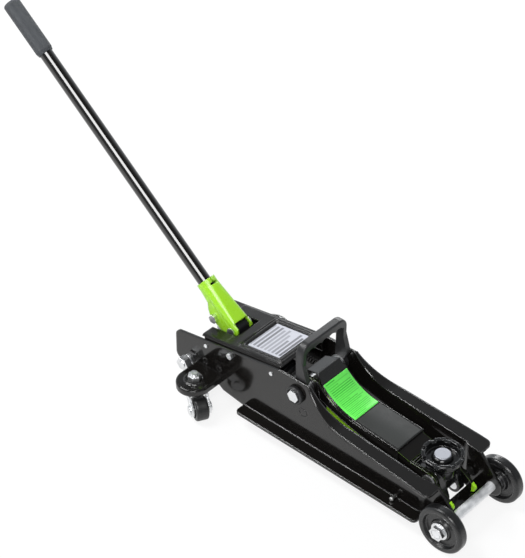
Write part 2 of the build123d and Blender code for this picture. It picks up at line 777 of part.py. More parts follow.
# Lift arm: two cheeks under a hollow top web, with a lever that carries the ram roller
arm_top = shoulder_radius + arm_cover_drop + arm_cover_thickness
web_turn = 46.0
web_front_x = at_back(arm_cover_front_back)
arm_inner_y = arm_outer_y - arm_cheek
web_thickness = 4.0
front_web_top = (saddle_pivot[0] - saddle_radius - 3, saddle_pin_z + arm_nose_radius + 1)
bottom_web_front = saddle_pivot[0] - link_arm - 10.5
nose_tip = (axle_x - nose_tip_gap, axle_z + 1)
nose_run = math.atan2(nose_tip[1] - saddle_pivot[1], nose_tip[0] - saddle_pivot[0])
nose_side = (-math.sin(nose_run) * nose_half_width, math.cos(nose_run) * nose_half_width)


def arm_top_line(radius):
    """Draw the arm's top from its front to its rear: a sloping line, then the arc."""
    Line((web_front_x, ledge_line(radius, web_front_x)), shoulder_point(radius, 0))
    ThreePointArc(
        shoulder_point(radius, 0), shoulder_point(radius, web_turn / 2), shoulder_point(radius, web_turn)
    )


with BuildPart() as lift_arm:
    with BuildSketch(xz_plane(arm_outer_y)):
        with BuildLine():
            arm_top_line(arm_top)
            Polyline(
                shoulder_point(arm_top, web_turn),
                (arm_pivot[0], arm_pivot[1] + arm_hub_radius),
                (arm_pivot[0] - arm_hub_radius, arm_pivot[1]),
                (ram_roller[0] - 11, ram_roller[1]),
                (ram_roller[0], ram_roller[1] - 11),
                (arm_pivot[0] + 10, arm_pivot[1] - 24),
                (at_back(162.0), saddle_pin_z - 3),
                (saddle_pivot[0], saddle_pivot[1] - arm_nose_radius),
                (saddle_pivot[0], saddle_pivot[1] + arm_nose_radius),
                front_web_top,
                (web_front_x, ledge_line(arm_top, web_front_x)),
            )
        make_face()
        with Locations(arm_pivot):
            Circle(arm_hub_radius)
        with Locations(ram_roller):
            Circle(11)
        with Locations(saddle_pivot):
            Circle(arm_nose_radius)
        with BuildLine():
            Polyline(
                (saddle_pivot[0] + nose_side[0], saddle_pivot[1] + nose_side[1]),
                (nose_tip[0] + nose_side[0], nose_tip[1] + nose_side[1]),
                (nose_tip[0] - nose_side[0], nose_tip[1] - nose_side[1]),
                (saddle_pivot[0] - nose_side[0], saddle_pivot[1] - nose_side[1]),
                close=True,
            )
        make_face()
        with Locations(nose_tip):
            Circle(nose_half_width)
    extrude(amount=arm_cheek)
    mirror(about=Plane.XZ)
    with BuildSketch(xz_plane(arm_inner_y)):
        with BuildLine():
            arm_top_line(arm_top)
            Line(shoulder_point(arm_top, web_turn), shoulder_point(arm_top + web_thickness, web_turn))
            ThreePointArc(
                shoulder_point(arm_top + web_thickness, web_turn),
                shoulder_point(arm_top + web_thickness, web_turn / 2),
                shoulder_point(arm_top + web_thickness, 0),
            )
            Polyline(
                shoulder_point(arm_top + web_thickness, 0),
                (web_front_x, ledge_line(arm_top + web_thickness, web_front_x)),
                (web_front_x, ledge_line(arm_top, web_front_x)),
            )
        make_face()
    extrude(amount=2 * arm_inner_y)
    with BuildSketch(xz_plane(arm_inner_y)):
        with BuildLine():
            Polyline(
                (web_front_x, ledge_line(arm_top, web_front_x)),
                front_web_top,
                (front_web_top[0], front_web_top[1] - web_thickness),
                (web_front_x, ledge_line(arm_top + web_thickness, web_front_x)),
                close=True,
            )
        make_face()
    extrude(amount=2 * arm_inner_y)
    with BuildSketch(xz_plane(arm_inner_y)):
        with BuildLine():
            Polyline(
                (bottom_web_front - 45, saddle_pin_z - 7),
                (bottom_web_front, saddle_pin_z - arm_nose_radius + 3),
                (bottom_web_front, saddle_pin_z - arm_nose_radius),
                (bottom_web_front - 45, saddle_pin_z - 10),
                close=True,
            )
        make_face()
    extrude(amount=2 * arm_inner_y)
    for hole, hole_radius in (
        (arm_pivot, arm_shaft_radius + running_gap),
        (ram_roller, ram_roller_pin_radius + fit_gap),
        (saddle_pivot, saddle_pin_radius + fit_gap),
    ):
        cross_cylinder(*hole, hole_radius, -plate_inner_y, plate_inner_y, mode=Mode.SUBTRACT)
save(lift_arm, "lift_arm")

# Arm cover: sheet that follows the arm's top, with a crest and a short rear flat
cover_upper = shoulder_radius + arm_cover_drop
crest_turn = 53.0
crest = shoulder_point(cover_upper, crest_turn)
crest_under = shoulder_point(arm_top, crest_turn)
rear_flat = (crest[0] - 21, crest[1] - 7)
cover_half_width = arm_outer_y + arm_cover_lip + side_gap / 4
with BuildPart() as arm_cover:
    with BuildSketch(xz_plane(cover_half_width)):
        with BuildLine():
            Line((web_front_x + 5, ledge_line(cover_upper, web_front_x + 5)), shoulder_point(cover_upper, 0))
            ThreePointArc(
                shoulder_point(cover_upper, 0), shoulder_point(cover_upper, crest_turn / 2), crest
            )
            Polyline(
                crest,
                rear_flat,
                (rear_flat[0], rear_flat[1] - arm_cover_thickness),
                (crest_under[0] - 1, crest[1] - arm_cover_thickness - 0.6),
                crest_under,
            )
            ThreePointArc(
                crest_under, shoulder_point(arm_top, crest_turn / 2), shoulder_point(arm_top, 0)
            )
            Polyline(
                shoulder_point(arm_top, 0),
                (web_front_x + 5, ledge_line(arm_top, web_front_x + 5)),
                (web_front_x + 5, ledge_line(cover_upper, web_front_x + 5)),
            )
        make_face()
    extrude(amount=2 * cover_half_width)
    with BuildSketch(Plane.XY):
        with BuildLine():
            Polyline(
                (rear_flat[0], 0),
                (rear_flat[0], arm_inner_y - 2.5),
                (crest[0], arm_inner_y),
                (crest[0] + 14, cover_half_width - 2),
                (web_front_x + 5, cover_half_width),
                (web_front_x + 5, 0),
                close=True,
            )
        make_face()
        mirror(about=Plane.XZ)
    extrude(amount=2 * cover_front_z, mode=Mode.INTERSECT)
    lip_under = arm_top + arm_cover_lip_height
    lip_end = arm_top + arm_cover_lip_ends
    lip_turn = 48
    lip_front_x = shoulder_start[0] + 29
    with BuildSketch(xz_plane(cover_half_width)):
        with BuildLine():
            Line((web_front_x + 5, ledge_line(arm_top, web_front_x + 5)), shoulder_point(arm_top, 0))
            ThreePointArc(
                shoulder_point(arm_top, 0),
                shoulder_point(arm_top, lip_turn / 2),
                shoulder_point(arm_top, lip_turn),
            )
            Line(shoulder_point(arm_top, lip_turn), shoulder_point(lip_end, lip_turn - 14))
            ThreePointArc(
                shoulder_point(lip_end, lip_turn - 14),
                shoulder_point(lip_under, 10),
                (lip_front_x, ledge_line(lip_end, lip_front_x)),
            )
            Polyline(
                (lip_front_x, ledge_line(lip_end, lip_front_x)),
                (web_front_x + 5, ledge_line(lip_end, web_front_x + 5)),
                (web_front_x + 5, ledge_line(arm_top, web_front_x + 5)),
            )
        make_face()
    extrude(amount=arm_cover_lip)
    mirror(about=Plane.XZ)
save(arm_cover, "arm_cover")

with BuildPart() as ram_roller_wheel:
    cross_cylinder(*ram_roller, ram_roller_radius, side_gap - arm_inner_y, arm_inner_y - side_gap)
    cross_cylinder(
        *ram_roller, ram_roller_pin_radius + running_gap, -arm_outer_y, arm_outer_y, mode=Mode.SUBTRACT
    )
save(ram_roller_wheel, "ram_roller")

with BuildPart() as ram_roller_pin:
    cross_cylinder(*ram_roller, ram_roller_pin_radius, -arm_outer_y, arm_outer_y)
save(ram_roller_pin, "ram_roller_pin")

# Saddle bracket, which the side links keep level
bracket_half = arm_inner_y - side_gap
lug_thickness = 10.0
bracket_slot_drop = 22.0
bracket_slot_front = 14.1
bracket_shelf = saddle_radius + 0.9
with BuildPart() as saddle_bracket:
    with BuildSketch(xz_plane(bracket_half)):
        with Locations(saddle_pivot):
            Circle(12.5)
        with Locations(link_head):
            Circle(10)
        with BuildLine():
            along = math.atan2(link_dz, link_dx)
            side = (-math.sin(along), math.cos(along))
            Polyline(
                (saddle_pivot[0] + 12.4 * side[0], saddle_pivot[1] + 12.4 * side[1]),
                (link_head[0] + 9.9 * side[0], link_head[1] + 9.9 * side[1]),
                (link_head[0] - 9.9 * side[0], link_head[1] - 9.9 * side[1]),
                (saddle_pivot[0] - 12.4 * side[0], saddle_pivot[1] - 12.4 * side[1]),
                close=True,
            )
        make_face()
    extrude(amount=2 * bracket_half)
    with BuildSketch(Plane.XY.offset(saddle_pin_z - bracket_slot_drop)):
        with Locations(saddle_pivot[:1] + (0,)):
            Rectangle(6 * arm_nose_radius, 2 * (bracket_half - lug_thickness))
    extrude(amount=-saddle_pin_z, mode=Mode.SUBTRACT)
    with BuildSketch(Plane.XY):
        with Locations((saddle_pivot[0] + bracket_slot_front + arm_nose_radius, 0)):
            Rectangle(2 * arm_nose_radius, 2 * (bracket_half - lug_thickness))
    extrude(amount=saddle_pin_z, mode=Mode.SUBTRACT)
    upright_cylinder(saddle_pivot[0], 0, 18, saddle_pin_z, saddle_seat_z - side_gap)
    with BuildSketch(xz_plane(bracket_half)):
        with BuildLine():
            Polyline(
                (saddle_pivot[0] - bracket_shelf, saddle_pin_z + 1),
                (saddle_pivot[0] - bracket_shelf, saddle_pin_z + 5),
                (saddle_pivot[0] - 12, saddle_pin_z + 9),
                (saddle_pivot[0] - 10, saddle_pin_z + 1),
                close=True,
            )
        make_face()
    extrude(amount=2 * bracket_half)
    upright_cylinder(
        saddle_pivot[0], 0, saddle_stem_radius + running_gap, saddle_seat_z - 6, saddle_seat_z + 1, mode=Mode.SUBTRACT
    )
    cross_cylinder(
        *saddle_pivot, saddle_pin_radius + running_gap, -plate_inner_y, plate_inner_y, mode=Mode.SUBTRACT
    )
    cross_cylinder(
        *link_head, link_pin_radius + fit_gap, -plate_inner_y, plate_inner_y, mode=Mode.SUBTRACT
    )
save(saddle_bracket, "saddle_bracket")

with BuildPart() as saddle_pin:
    cross_cylinder(*saddle_pivot, saddle_pin_radius, -arm_outer_y, arm_outer_y)
    cross_cylinder(*saddle_pivot, saddle_pin_radius + 2, arm_outer_y, arm_outer_y + 2.5)
    mirror(about=Plane.XZ)
save(saddle_pin, "saddle_pin")

link_outer_y = link_inner_y + link_thickness
with BuildPart() as link_pins:
    cross_cylinder(*link_head, link_pin_radius, bracket_half - lug_thickness, link_outer_y + 2)
    mirror(about=Plane.XZ)
save(link_pins, "link_pins")

with BuildPart() as link_studs:
    cross_cylinder(*link_foot, link_pin_radius, link_inner_y - side_gap, plate_outer_y)
    cross_cylinder(
        *link_foot, link_pin_radius + 2, link_inner_y - side_gap - 2, link_inner_y - side_gap
    )
    cross_cylinder(*link_foot, link_pin_radius + 3, link_outer_y + side_gap, plate_inner_y)
    mirror(about=Plane.XZ)
save(link_studs, "link_studs")

link_run = math.atan2(link_head[1] - link_foot[1], link_head[0] - link_foot[0])
link_side = (-math.sin(link_run) * link_half_width, math.cos(link_run) * link_half_width)
with BuildPart() as level_link_right:
    with BuildSketch(xz_plane(link_outer_y)):
        with BuildLine():
            Polyline(
                (link_foot[0] + link_side[0], link_foot[1] + link_side[1]),
                (link_head[0] + link_side[0], link_head[1] + link_side[1]),
                (link_head[0] - link_side[0], link_head[1] - link_side[1]),
                (link_foot[0] - link_side[0], link_foot[1] - link_side[1]),
                close=True,
            )
        make_face()
        with Locations(link_foot, link_head):
            Circle(link_half_width + 1)
        with Locations(link_foot):
            Circle(link_pin_radius + running_gap, mode=Mode.SUBTRACT)
        with Locations(link_head):
            Circle(link_pin_radius + open_pivot_gap, mode=Mode.SUBTRACT)
    extrude(amount=link_thickness)
with BuildPart() as level_link_left:
    mirror(level_link_right.part, about=Plane.XZ)
save(level_link_right, "level_link_right")
save(level_link_left, "level_link_left")

# Saddle: a dish with a toothed rim, a centre boss and a stem that swivels in the bracket
dish_z = saddle_seat_z + 6
boss_radius = 12.0
boss_top_z = saddle_top_z - 4
saddle_screw_radius = 4.0
with BuildPart() as saddle:
    with BuildSketch(Plane(origin=(saddle_pivot[0], 0, 0), x_dir=(1, 0, 0), z_dir=(0, -1, 0))):
        with BuildLine():
            Polyline(
                (0, saddle_seat_z - 5.5),
                (saddle_stem_radius, saddle_seat_z - 5.5),
                (saddle_stem_radius, saddle_seat_z),
                (saddle_skirt_radius, saddle_seat_z),
                (saddle_skirt_radius, saddle_seat_z + 4.5),
                (saddle_radius - 2, saddle_seat_z + 6.5),
                (saddle_radius, saddle_seat_z + 9),
                (saddle_radius, saddle_top_z - 1),
                (saddle_radius - 1, saddle_top_z),
                (saddle_radius - 5, saddle_top_z),
                (saddle_radius - 6.5, dish_z),
                (boss_radius + 1.5, dish_z),
                (boss_radius, boss_top_z - 1.5),
                (boss_radius - 1.5, boss_top_z),
                (0, boss_top_z),
                close=True,
            )
        make_face()
    revolve(axis=Axis((saddle_pivot[0], 0, 0), (0, 0, 1)))
    with BuildSketch(Plane.XY.offset(saddle_top_z - 3)):
        with Locations((saddle_pivot[0], 0)):
            with PolarLocations(saddle_radius, saddle_teeth, start_angle=180 / saddle_teeth):
                Rectangle(16, 6)
    extrude(amount=5, mode=Mode.SUBTRACT)
    upright_cylinder(
        saddle_pivot[0], 0, saddle_screw_radius + fit_gap, saddle_seat_z - 6, saddle_top_z, mode=Mode.SUBTRACT
    )
save(saddle, "saddle")

with BuildPart() as saddle_screw:
    upright_cylinder(saddle_pivot[0], 0, saddle_screw_radius, saddle_seat_z - 5.5, boss_top_z)
    upright_cylinder(saddle_pivot[0], 0, boss_radius - 1.6, boss_top_z, boss_top_z + 2.5)
    fillet(saddle_screw.edges().group_by(Axis.Z)[-1], radius=1.5)
save(saddle_screw, "saddle_screw")

# Pump block with the lug that carries the socket hinge, and the side feet on the plates
block_front_x = at_back(block_front_back)
block_rear_x = at_back(block_rear_back)
plunger_x = at_back(plunger_back)
lug_half = socket_half_width - socket_cheek - 0.7
lug_radius = hinge_pin_radius + 3.5
step_x = plunger_x + plunger_head_radius + 4
valve_radius = 5.0
valve_y = 17.0
valve_z = 32.0
valve_depth = 18.0
with BuildPart() as pump_block:
    with BuildSketch(xz_plane(block_half_width)):
        with BuildLine():
            Polyline(
                (block_front_x, block_bottom_z),
                (block_front_x, block_top_z),
                (step_x, block_top_z),
                (step_x, plunger_deck_z),
                (block_rear_x, plunger_deck_z),
                (block_rear_x, block_bottom_z),
                close=True,
            )
        make_face()
    extrude(amount=2 * block_half_width)
    with BuildSketch(Plane.XY.offset(pump_bolt_places[0][1] - 9)):
        with Locations(((block_front_x + block_rear_x) / 2, 0)):
            Rectangle(block_front_x - block_rear_x - 8, 2 * plate_inner_y)
    extrude(amount=18)
    with BuildSketch(Plane.XY.offset(spring_z - 6)):
        with Locations((block_front_x - 4, 0)):
            Rectangle(8, 2 * (spring_y + 6))
    extrude(amount=12)
    with BuildSketch(xz_plane(lug_half)):
        with Locations(hinge):
            Circle(lug_radius)
        with Locations((hinge[0], (hinge[1] + block_top_z) / 2 - 1)):
            Rectangle(2 * lug_radius, hinge[1] - block_top_z + 2)
    extrude(amount=2 * lug_half)
    cross_cylinder(
        *hinge, hinge_pin_radius + fit_gap, -plate_inner_y, plate_inner_y, mode=Mode.SUBTRACT
    )
    upright_cylinder(
        plunger_x, 0, plunger_radius + running_gap, block_bottom_z + 3, block_top_z, mode=Mode.SUBTRACT
    )
    with BuildSketch(yz_plane(block_rear_x)):
        with Locations((valve_y, valve_z)):
            Circle(valve_radius + running_gap)
    extrude(amount=valve_depth, mode=Mode.SUBTRACT)
    for bolt_x, bolt_z in pump_bolt_places:
        cross_cylinder(
            bolt_x, bolt_z, pump_bolt_radius + fit_gap, plate_inner_y - 14, plate_inner_y, mode=Mode.SUBTRACT
        )
        cross_cylinder(
            bolt_x, bolt_z, pump_bolt_radius + fit_gap, -plate_inner_y, 14 - plate_inner_y, mode=Mode.SUBTRACT
        )
save(pump_block, "pump_block")

with BuildPart() as pump_bolts:
    for bolt_x, bolt_z in pump_bolt_places:
        cross_cylinder(bolt_x, bolt_z, pump_bolt_radius, plate_inner_y - 13, plate_outer_y)
    mirror(about=Plane.XZ)
save(pump_bolts, "pump_bolts")

with BuildPart() as release_valve:
    with BuildSketch(yz_plane(block_rear_x)):
        with Locations((valve_y, valve_z)):
            Circle(valve_radius)
    extrude(amount=valve_depth - 1)
    with BuildSketch(yz_plane(block_rear_x - 22)):
        with Locations((valve_y, valve_z)):
            Circle(valve_radius)
    extrude(amount=22)
    with BuildSketch(yz_plane(block_rear_x - 26)):
        with Locations((valve_y, valve_z)):
            RectangleRounded(5, 16, 1.5)
    extrude(amount=8)
save(release_valve, "release_valve")

# Ram: working cylinder inside the oil reservoir, end gland, piston and crosshead
cylinder_front_x = at_back(cylinder_front_back)
cylinder_length = cylinder_front_x - block_front_x
ram_bore = ram_radius + running_gap


def ram_tube(x, length, outer, inner):
    """Tube round the ram's axis."""
    with BuildSketch(yz_plane(x)) as ring:
        with Locations((0, ram_axis_z)):
            Circle(outer)
            Circle(inner, mode=Mode.SUBTRACT)
    extrude(ring.sketch, amount=length)


filler_x = (block_front_x + cylinder_front_x) / 2
filler_radius = 5.0
filler_seat_z = ram_axis_z + reservoir_radius + 1.0
with BuildPart() as ram_cylinder:
    ram_tube(block_front_x, cylinder_length, ram_bore + cylinder_wall, ram_bore)
save(ram_cylinder, "ram_cylinder")

with BuildPart() as oil_reservoir:
    ram_tube(block_front_x, cylinder_length, reservoir_radius, reservoir_radius - reservoir_wall)
    upright_cylinder(filler_x, 0, filler_radius + 3, filler_seat_z - 3, filler_seat_z)
    upright_cylinder(
        filler_x, 0, filler_radius + fit_gap, ram_axis_z, filler_seat_z + 1, mode=Mode.SUBTRACT
    )
save(oil_reservoir, "oil_reservoir")

with BuildPart() as filler_plug:
    upright_cylinder(filler_x, 0, filler_radius, filler_seat_z - 5, filler_seat_z)
    with BuildSketch(Plane.XY.offset(filler_seat_z)):
        with Locations((filler_x, 0)):
            RegularPolygon(filler_radius + 2, 6, major_radius=False)
    extrude(amount=4)
save(filler_plug, "filler_plug")

with BuildPart() as ram_gland:
    ram_tube(cylinder_front_x, gland_length, reservoir_radius, ram_bore)
save(ram_gland, "ram_gland")

ram_shoulder_x = cylinder_front_x + gland_length
crosshead_x = ram_shoulder_x + 1.0
crosshead_thickness = 5.0
with BuildPart() as ram_piston:
    ram_tube(ram_shoulder_x - ram_insert, ram_insert, ram_radius, 0.5)
    with BuildSketch(yz_plane(ram_shoulder_x - ram_insert)):
        with Locations((0, ram_axis_z)):
            Circle(ram_nose_radius)
    extrude(amount=ram_face_x - ram_shoulder_x + ram_insert)
save(ram_piston, "ram_piston")

with BuildPart() as ram_crosshead:
    with BuildSketch(yz_plane(crosshead_x)):
        with Locations((0, ram_axis_z)):
            Circle(ram_nose_radius + 5)
        with Locations((0, spring_z)):
            RectangleRounded(2 * (spring_y + 6), 12, 4)
        with Locations((0, ram_axis_z)):
            Circle(ram_nose_radius + fit_gap, mode=Mode.SUBTRACT)
    extrude(amount=crosshead_thickness)
save(ram_crosshead, "ram_crosshead")


# Coil springs: half-turn biarcs round a helix, with straight ends square to their seats
def biarc(start, start_dir, end, end_dir):
    """Two tangent arcs that join two places with given directions."""
    chord = end - start
    both = start_dir + end_dir
    square = 2 * (start_dir.dot(end_dir) - 1)
    linear = -2 * chord.dot(both)
    constant = chord.dot(chord)
    if abs(square) < 1e-9:
        reach_out = -constant / linear
    else:
        reach_out = (-linear - math.sqrt(linear * linear - 4 * square * constant)) / (2 * square)
    middle = (start + start_dir * reach_out + end - end_dir * reach_out) * 0.5
    TangentArc(start, middle, tangent=start_dir)
    TangentArc(end, middle, tangent=end_dir * -1)


def coil(seat, length, mean_radius, wire, turns):
    """Sweep one spring upwards from a seat plane; the straight ends stand on the seats."""
    lead = mean_radius * 0.9
    rise = (length - 2 * (wire + lead)) / turns
    spin = math.atan2(rise, 2 * math.pi * mean_radius)
    knots = []
    for half_turn in range(int(2 * turns) + 1):
        angle = math.pi * half_turn
        place = seat.from_local_coords(
            Vector(
                mean_radius * math.cos(angle),
                mean_radius * math.sin(angle),
                wire + lead + rise * half_turn / 2,
            )
        )
        heading = (
            seat.x_dir * (-math.sin(angle) * math.cos(spin))
            + seat.y_dir * (math.cos(angle) * math.cos(spin))
            + seat.z_dir * math.sin(spin)
        )
        knots.append((place, heading))
    first = seat.from_local_coords(Vector(mean_radius, -lead, wire))
    last_sign = math.cos(math.pi * int(2 * turns))
    last = seat.from_local_coords(Vector(last_sign * mean_radius, last_sign * lead, length - wire))
    knots = [(first, seat.z_dir)] + knots + [(last, seat.z_dir)]
    with BuildLine() as path:
        Line(first - seat.z_dir * wire, first)
        for (start, start_dir), (end, end_dir) in zip(knots, knots[1:]):
            biarc(start, start_dir, end, end_dir)
        Line(last, last + seat.z_dir * wire)
    foot = Plane(origin=first - seat.z_dir * wire, x_dir=seat.x_dir, z_dir=seat.z_dir)
    with BuildSketch(foot) as section:
        Circle(wire / 2)
    sweep(section.sketch, path=path.wire())
    run = path.wire()
    steps = int(2 * run.length / wire)
    points = [tuple(run @ (step / steps)) for step in range(steps + 1)]
    skip = int(steps * math.pi * mean_radius / run.length)
    return min(
        math.dist(points[i], points[j])
        for i in range(len(points))
        for j in range(i + skip, len(points))
    ) - wire


return_seat = Plane(origin=(block_front_x, spring_y, spring_z), x_dir=(0, 1, 0), z_dir=(1, 0, 0))
return_wire = 1.6
with BuildPart() as return_spring_right:
    return_gap = coil(return_seat, crosshead_x - block_front_x, 4.5, return_wire, 18)
with BuildPart() as return_spring_left:
    mirror(return_spring_right.part, about=Plane.XZ)
save(return_spring_right, "return_spring_right")
save(return_spring_left, "return_spring_left")

# Pump plunger with its head under the socket roller, and its spring
plunger_wire = 1.8
head_low_z = plunger_top_z - plunger_head_height
with BuildPart() as pump_plunger:
    upright_cylinder(plunger_x, 0, plunger_radius, plunger_bottom_z, head_low_z)
    upright_cylinder(plunger_x, 0, plunger_head_radius, head_low_z, plunger_top_z)
save(pump_plunger, "pump_plunger")

plunger_seat = Plane(origin=(plunger_x, 0, plunger_deck_z), x_dir=(1, 0, 0), z_dir=(0, 0, 1))
with BuildPart() as plunger_spring:
    plunger_gap = coil(plunger_seat, head_low_z - plunger_deck_z, 7.4, plunger_wire, 3)
save(plunger_spring, "plunger_spring")
print(f"least gap between coils: return {return_gap:.2f} mm, plunger {plunger_gap:.2f} mm")

# Handle socket: a yoke on the hinge pin that runs up into a round slotted sleeve
socket_plane = Plane(
    origin=(socket_origin[0], 0, socket_origin[1]),
    x_dir=(socket_front[0], 0, socket_front[1]),
    z_dir=(socket_up[0], 0, socket_up[1]),
)
socket_side = Plane(
    origin=(socket_origin[0], 0, socket_origin[1]),
    x_dir=(socket_front[0], 0, socket_front[1]),
    z_dir=(0, -1, 0),
)
yoke_front = 17.5
yoke_back = 12.0
sleeve_offset = 2.5
sleeve_low = 64.0
slot_half = socket_half_width - socket_cheek
slit_width = 2.8
slit_depth = 8.5
bar_length = 10.0
with BuildPart() as handle_socket:
    with BuildSketch(socket_plane.offset(-14)):
        with Locations(((yoke_front - yoke_back) / 2, 0)):
            RectangleRounded(yoke_front + yoke_back, 2 * socket_half_width, 3.5)
    with BuildSketch(socket_plane.offset(sleeve_low)):
        with Locations((sleeve_offset, 0)):
            RectangleRounded(2 * socket_radius, 2 * socket_radius, socket_radius - 0.1)
    loft()
    with BuildSketch(socket_plane.offset(sleeve_low - 1)):
        with Locations((sleeve_offset, 0)):
            Circle(socket_radius)
    extrude(amount=socket_rim - sleeve_low + 1)
    for cheek_y in (socket_half_width, -slot_half):
        with BuildSketch(socket_side.offset(-cheek_y)):
            with BuildLine():
                Polyline(
                    (-yoke_back - 0.5, -14),
                    (-yoke_back - 0.5, 34),
                    (4 - yoke_back, 41.5),
                    (0, 49),
                    (6, 49),
                    (6, -14),
                    close=True,
                )
            make_face()
        extrude(amount=socket_cheek)
    for slot_front, slot_top in ((yoke_front - 4.5, lug_radius + 6), (lug_radius + 0.5, handle_foot - 2)):
        with BuildSketch(socket_plane.offset(-15)):
            with Locations((slot_front - 20, 0)):
                Rectangle(40, 2 * slot_half)
        extrude(amount=slot_top + 15, mode=Mode.SUBTRACT)
    with BuildSketch(socket_plane.offset(-15)):
        with Locations((yoke_front, 0)):
            Rectangle(10, 2 * slot_half)
    extrude(amount=15 + 6, mode=Mode.SUBTRACT)
    with BuildSketch(socket_side):
        with BuildLine():
            Polyline((-20, 14), (-12.4, 11), (2, -6.5), (8, -16), (-20, -16), close=True)
        make_face()
        with BuildLine():
            Polyline((20, 1), (12.5, -7.5), (-6, -8.5), (-6, -16), (20, -16), close=True)
        make_face()
    extrude(amount=20, both=True, mode=Mode.SUBTRACT)
    with BuildSketch(socket_plane.offset(handle_foot - 5)):
        Circle(handle_radius + open_pivot_gap)
    extrude(amount=socket_rim, mode=Mode.SUBTRACT)
    with BuildSketch(Plane(origin=socket_plane.origin, x_dir=(0, 1, 0), z_dir=socket_plane.x_dir)):
        with Locations((0, socket_rim - slit_depth / 2)):
            Rectangle(slit_width, slit_depth)
        with Locations((0, socket_rim - slit_depth)):
            Rectangle(bar_length, slit_width)
    extrude(amount=20, mode=Mode.SUBTRACT)
    with BuildSketch(socket_side):
        with Locations((socket_axis_offset, 0)):
            Circle(hinge_pin_radius + running_gap)
        with Locations((pump_roller_x, pump_roller_rise)):
            Circle(roller_bolt_radius + fit_gap)
    extrude(amount=20, both=True, mode=Mode.SUBTRACT)
save(handle_socket, "handle_socket")

hinge_end_y = socket_half_width + side_gap
with BuildPart() as socket_hinge_pin:
    cross_cylinder(*hinge, hinge_pin_radius, -hinge_end_y, hinge_end_y)
    cross_cylinder(*hinge, hinge_pin_radius + 2, hinge_end_y, hinge_end_y + 2)
    cross_cylinder(*hinge, hinge_pin_radius + 2, -hinge_end_y - 2, -hinge_end_y)
save(socket_hinge_pin, "socket_hinge_pin")

with BuildPart() as pump_roller:
    cross_cylinder(*pump_roller_centre, pump_roller_radius, side_gap - slot_half, slot_half - side_gap)
    cross_cylinder(
        *pump_roller_centre, roller_bolt_radius + running_gap, -slot_half, slot_half, mode=Mode.SUBTRACT
    )
save(pump_roller, "pump_roller")

with BuildPart() as pump_roller_bolt:
    cross_cylinder(*pump_roller_centre, roller_bolt_radius, -socket_half_width, socket_half_width)
    cross_hexagon(*pump_roller_centre, 11, socket_half_width, socket_half_width + 4.5)
    cross_hexagon(*pump_roller_centre, 11, -socket_half_width - 4.5, -socket_half_width)
save(pump_roller_bolt, "pump_roller_bolt")

# Handle: steel tube, bayonet stud and sleeve grip
grip_low = handle_end - grip_length
stud_radius = 1.1
stud_rise = socket_rim - slit_depth
with BuildPart() as handle_tube:
    with BuildSketch(socket_plane.offset(handle_foot)):
        Circle(handle_radius)
        Circle(handle_radius - handle_wall, mode=Mode.SUBTRACT)
    extrude(amount=handle_end - 5 - handle_foot)
    with BuildSketch(Plane(origin=socket_plane.origin, x_dir=(0, 1, 0), z_dir=socket_plane.x_dir)):
        with Locations((0, stud_rise)):
            Circle(stud_radius + fit_gap)
    extrude(amount=handle_radius + 1, mode=Mode.SUBTRACT)
save(handle_tube, "handle_tube")

stud_plane = Plane(origin=socket_plane.origin, x_dir=(0, 1, 0), z_dir=socket_plane.x_dir)
with BuildPart() as handle_stud:
    with BuildSketch(stud_plane.offset(handle_radius - handle_wall - 1)):
        with Locations((0, stud_rise)):
            Circle(stud_radius)
    extrude(amount=socket_radius - handle_radius + handle_wall + 1.5)
save(handle_stud, "handle_stud")

with BuildPart() as handle_grip:
    with BuildSketch(socket_side):
        with BuildLine():
            Polyline(
                (handle_radius + fit_gap, grip_low),
                (handle_radius + 1, grip_low),
                (grip_radius, grip_low + 5),
                (grip_radius, handle_end - grip_round),
            )
            ThreePointArc(
                (grip_radius, handle_end - grip_round),
                (
                    grip_radius - grip_round * (1 - math.sqrt(0.5)),
                    handle_end - grip_round * (1 - math.sqrt(0.5)),
                ),
                (grip_radius - grip_round, handle_end),
            )
            Polyline(
                (grip_radius - grip_round, handle_end),
                (0, handle_end),
                (0, handle_end - 5),
                (handle_radius + fit_gap, handle_end - 5),
                (handle_radius + fit_gap, grip_low),
            )
        make_face()
    revolve(axis=Axis(socket_plane.origin, socket_plane.z_dir))
save(handle_grip, "handle_grip")
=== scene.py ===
"""Studio scene of a low-profile hydraulic trolley jack, laid out as an add-on."""

import math

import bmesh
import bpy
import numpy as np
from bpy.props import FloatProperty, FloatVectorProperty, PointerProperty
from mathutils import Matrix, Vector


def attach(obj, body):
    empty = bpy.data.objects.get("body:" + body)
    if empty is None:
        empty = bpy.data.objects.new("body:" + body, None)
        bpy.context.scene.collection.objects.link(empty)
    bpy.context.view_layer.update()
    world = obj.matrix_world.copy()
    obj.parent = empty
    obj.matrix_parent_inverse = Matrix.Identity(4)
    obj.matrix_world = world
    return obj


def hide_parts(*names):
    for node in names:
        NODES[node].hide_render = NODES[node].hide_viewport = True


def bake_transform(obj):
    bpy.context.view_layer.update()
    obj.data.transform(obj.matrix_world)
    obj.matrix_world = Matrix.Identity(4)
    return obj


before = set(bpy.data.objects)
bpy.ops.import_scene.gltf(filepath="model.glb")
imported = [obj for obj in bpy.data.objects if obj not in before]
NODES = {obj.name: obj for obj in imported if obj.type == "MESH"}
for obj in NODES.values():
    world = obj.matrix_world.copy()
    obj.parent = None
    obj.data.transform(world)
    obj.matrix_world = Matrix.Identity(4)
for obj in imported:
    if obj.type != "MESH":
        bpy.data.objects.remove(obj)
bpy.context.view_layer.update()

bl_info = {
    "name": "Trolley Jack Studio",
    "version": (1, 0, 0),
    "blender": (4, 5, 0),
    "location": "View3D > Sidebar > Trolley Jack",
    "description": "Finishes, trim and studio for a hydraulic trolley jack",
    "category": "Object",
}

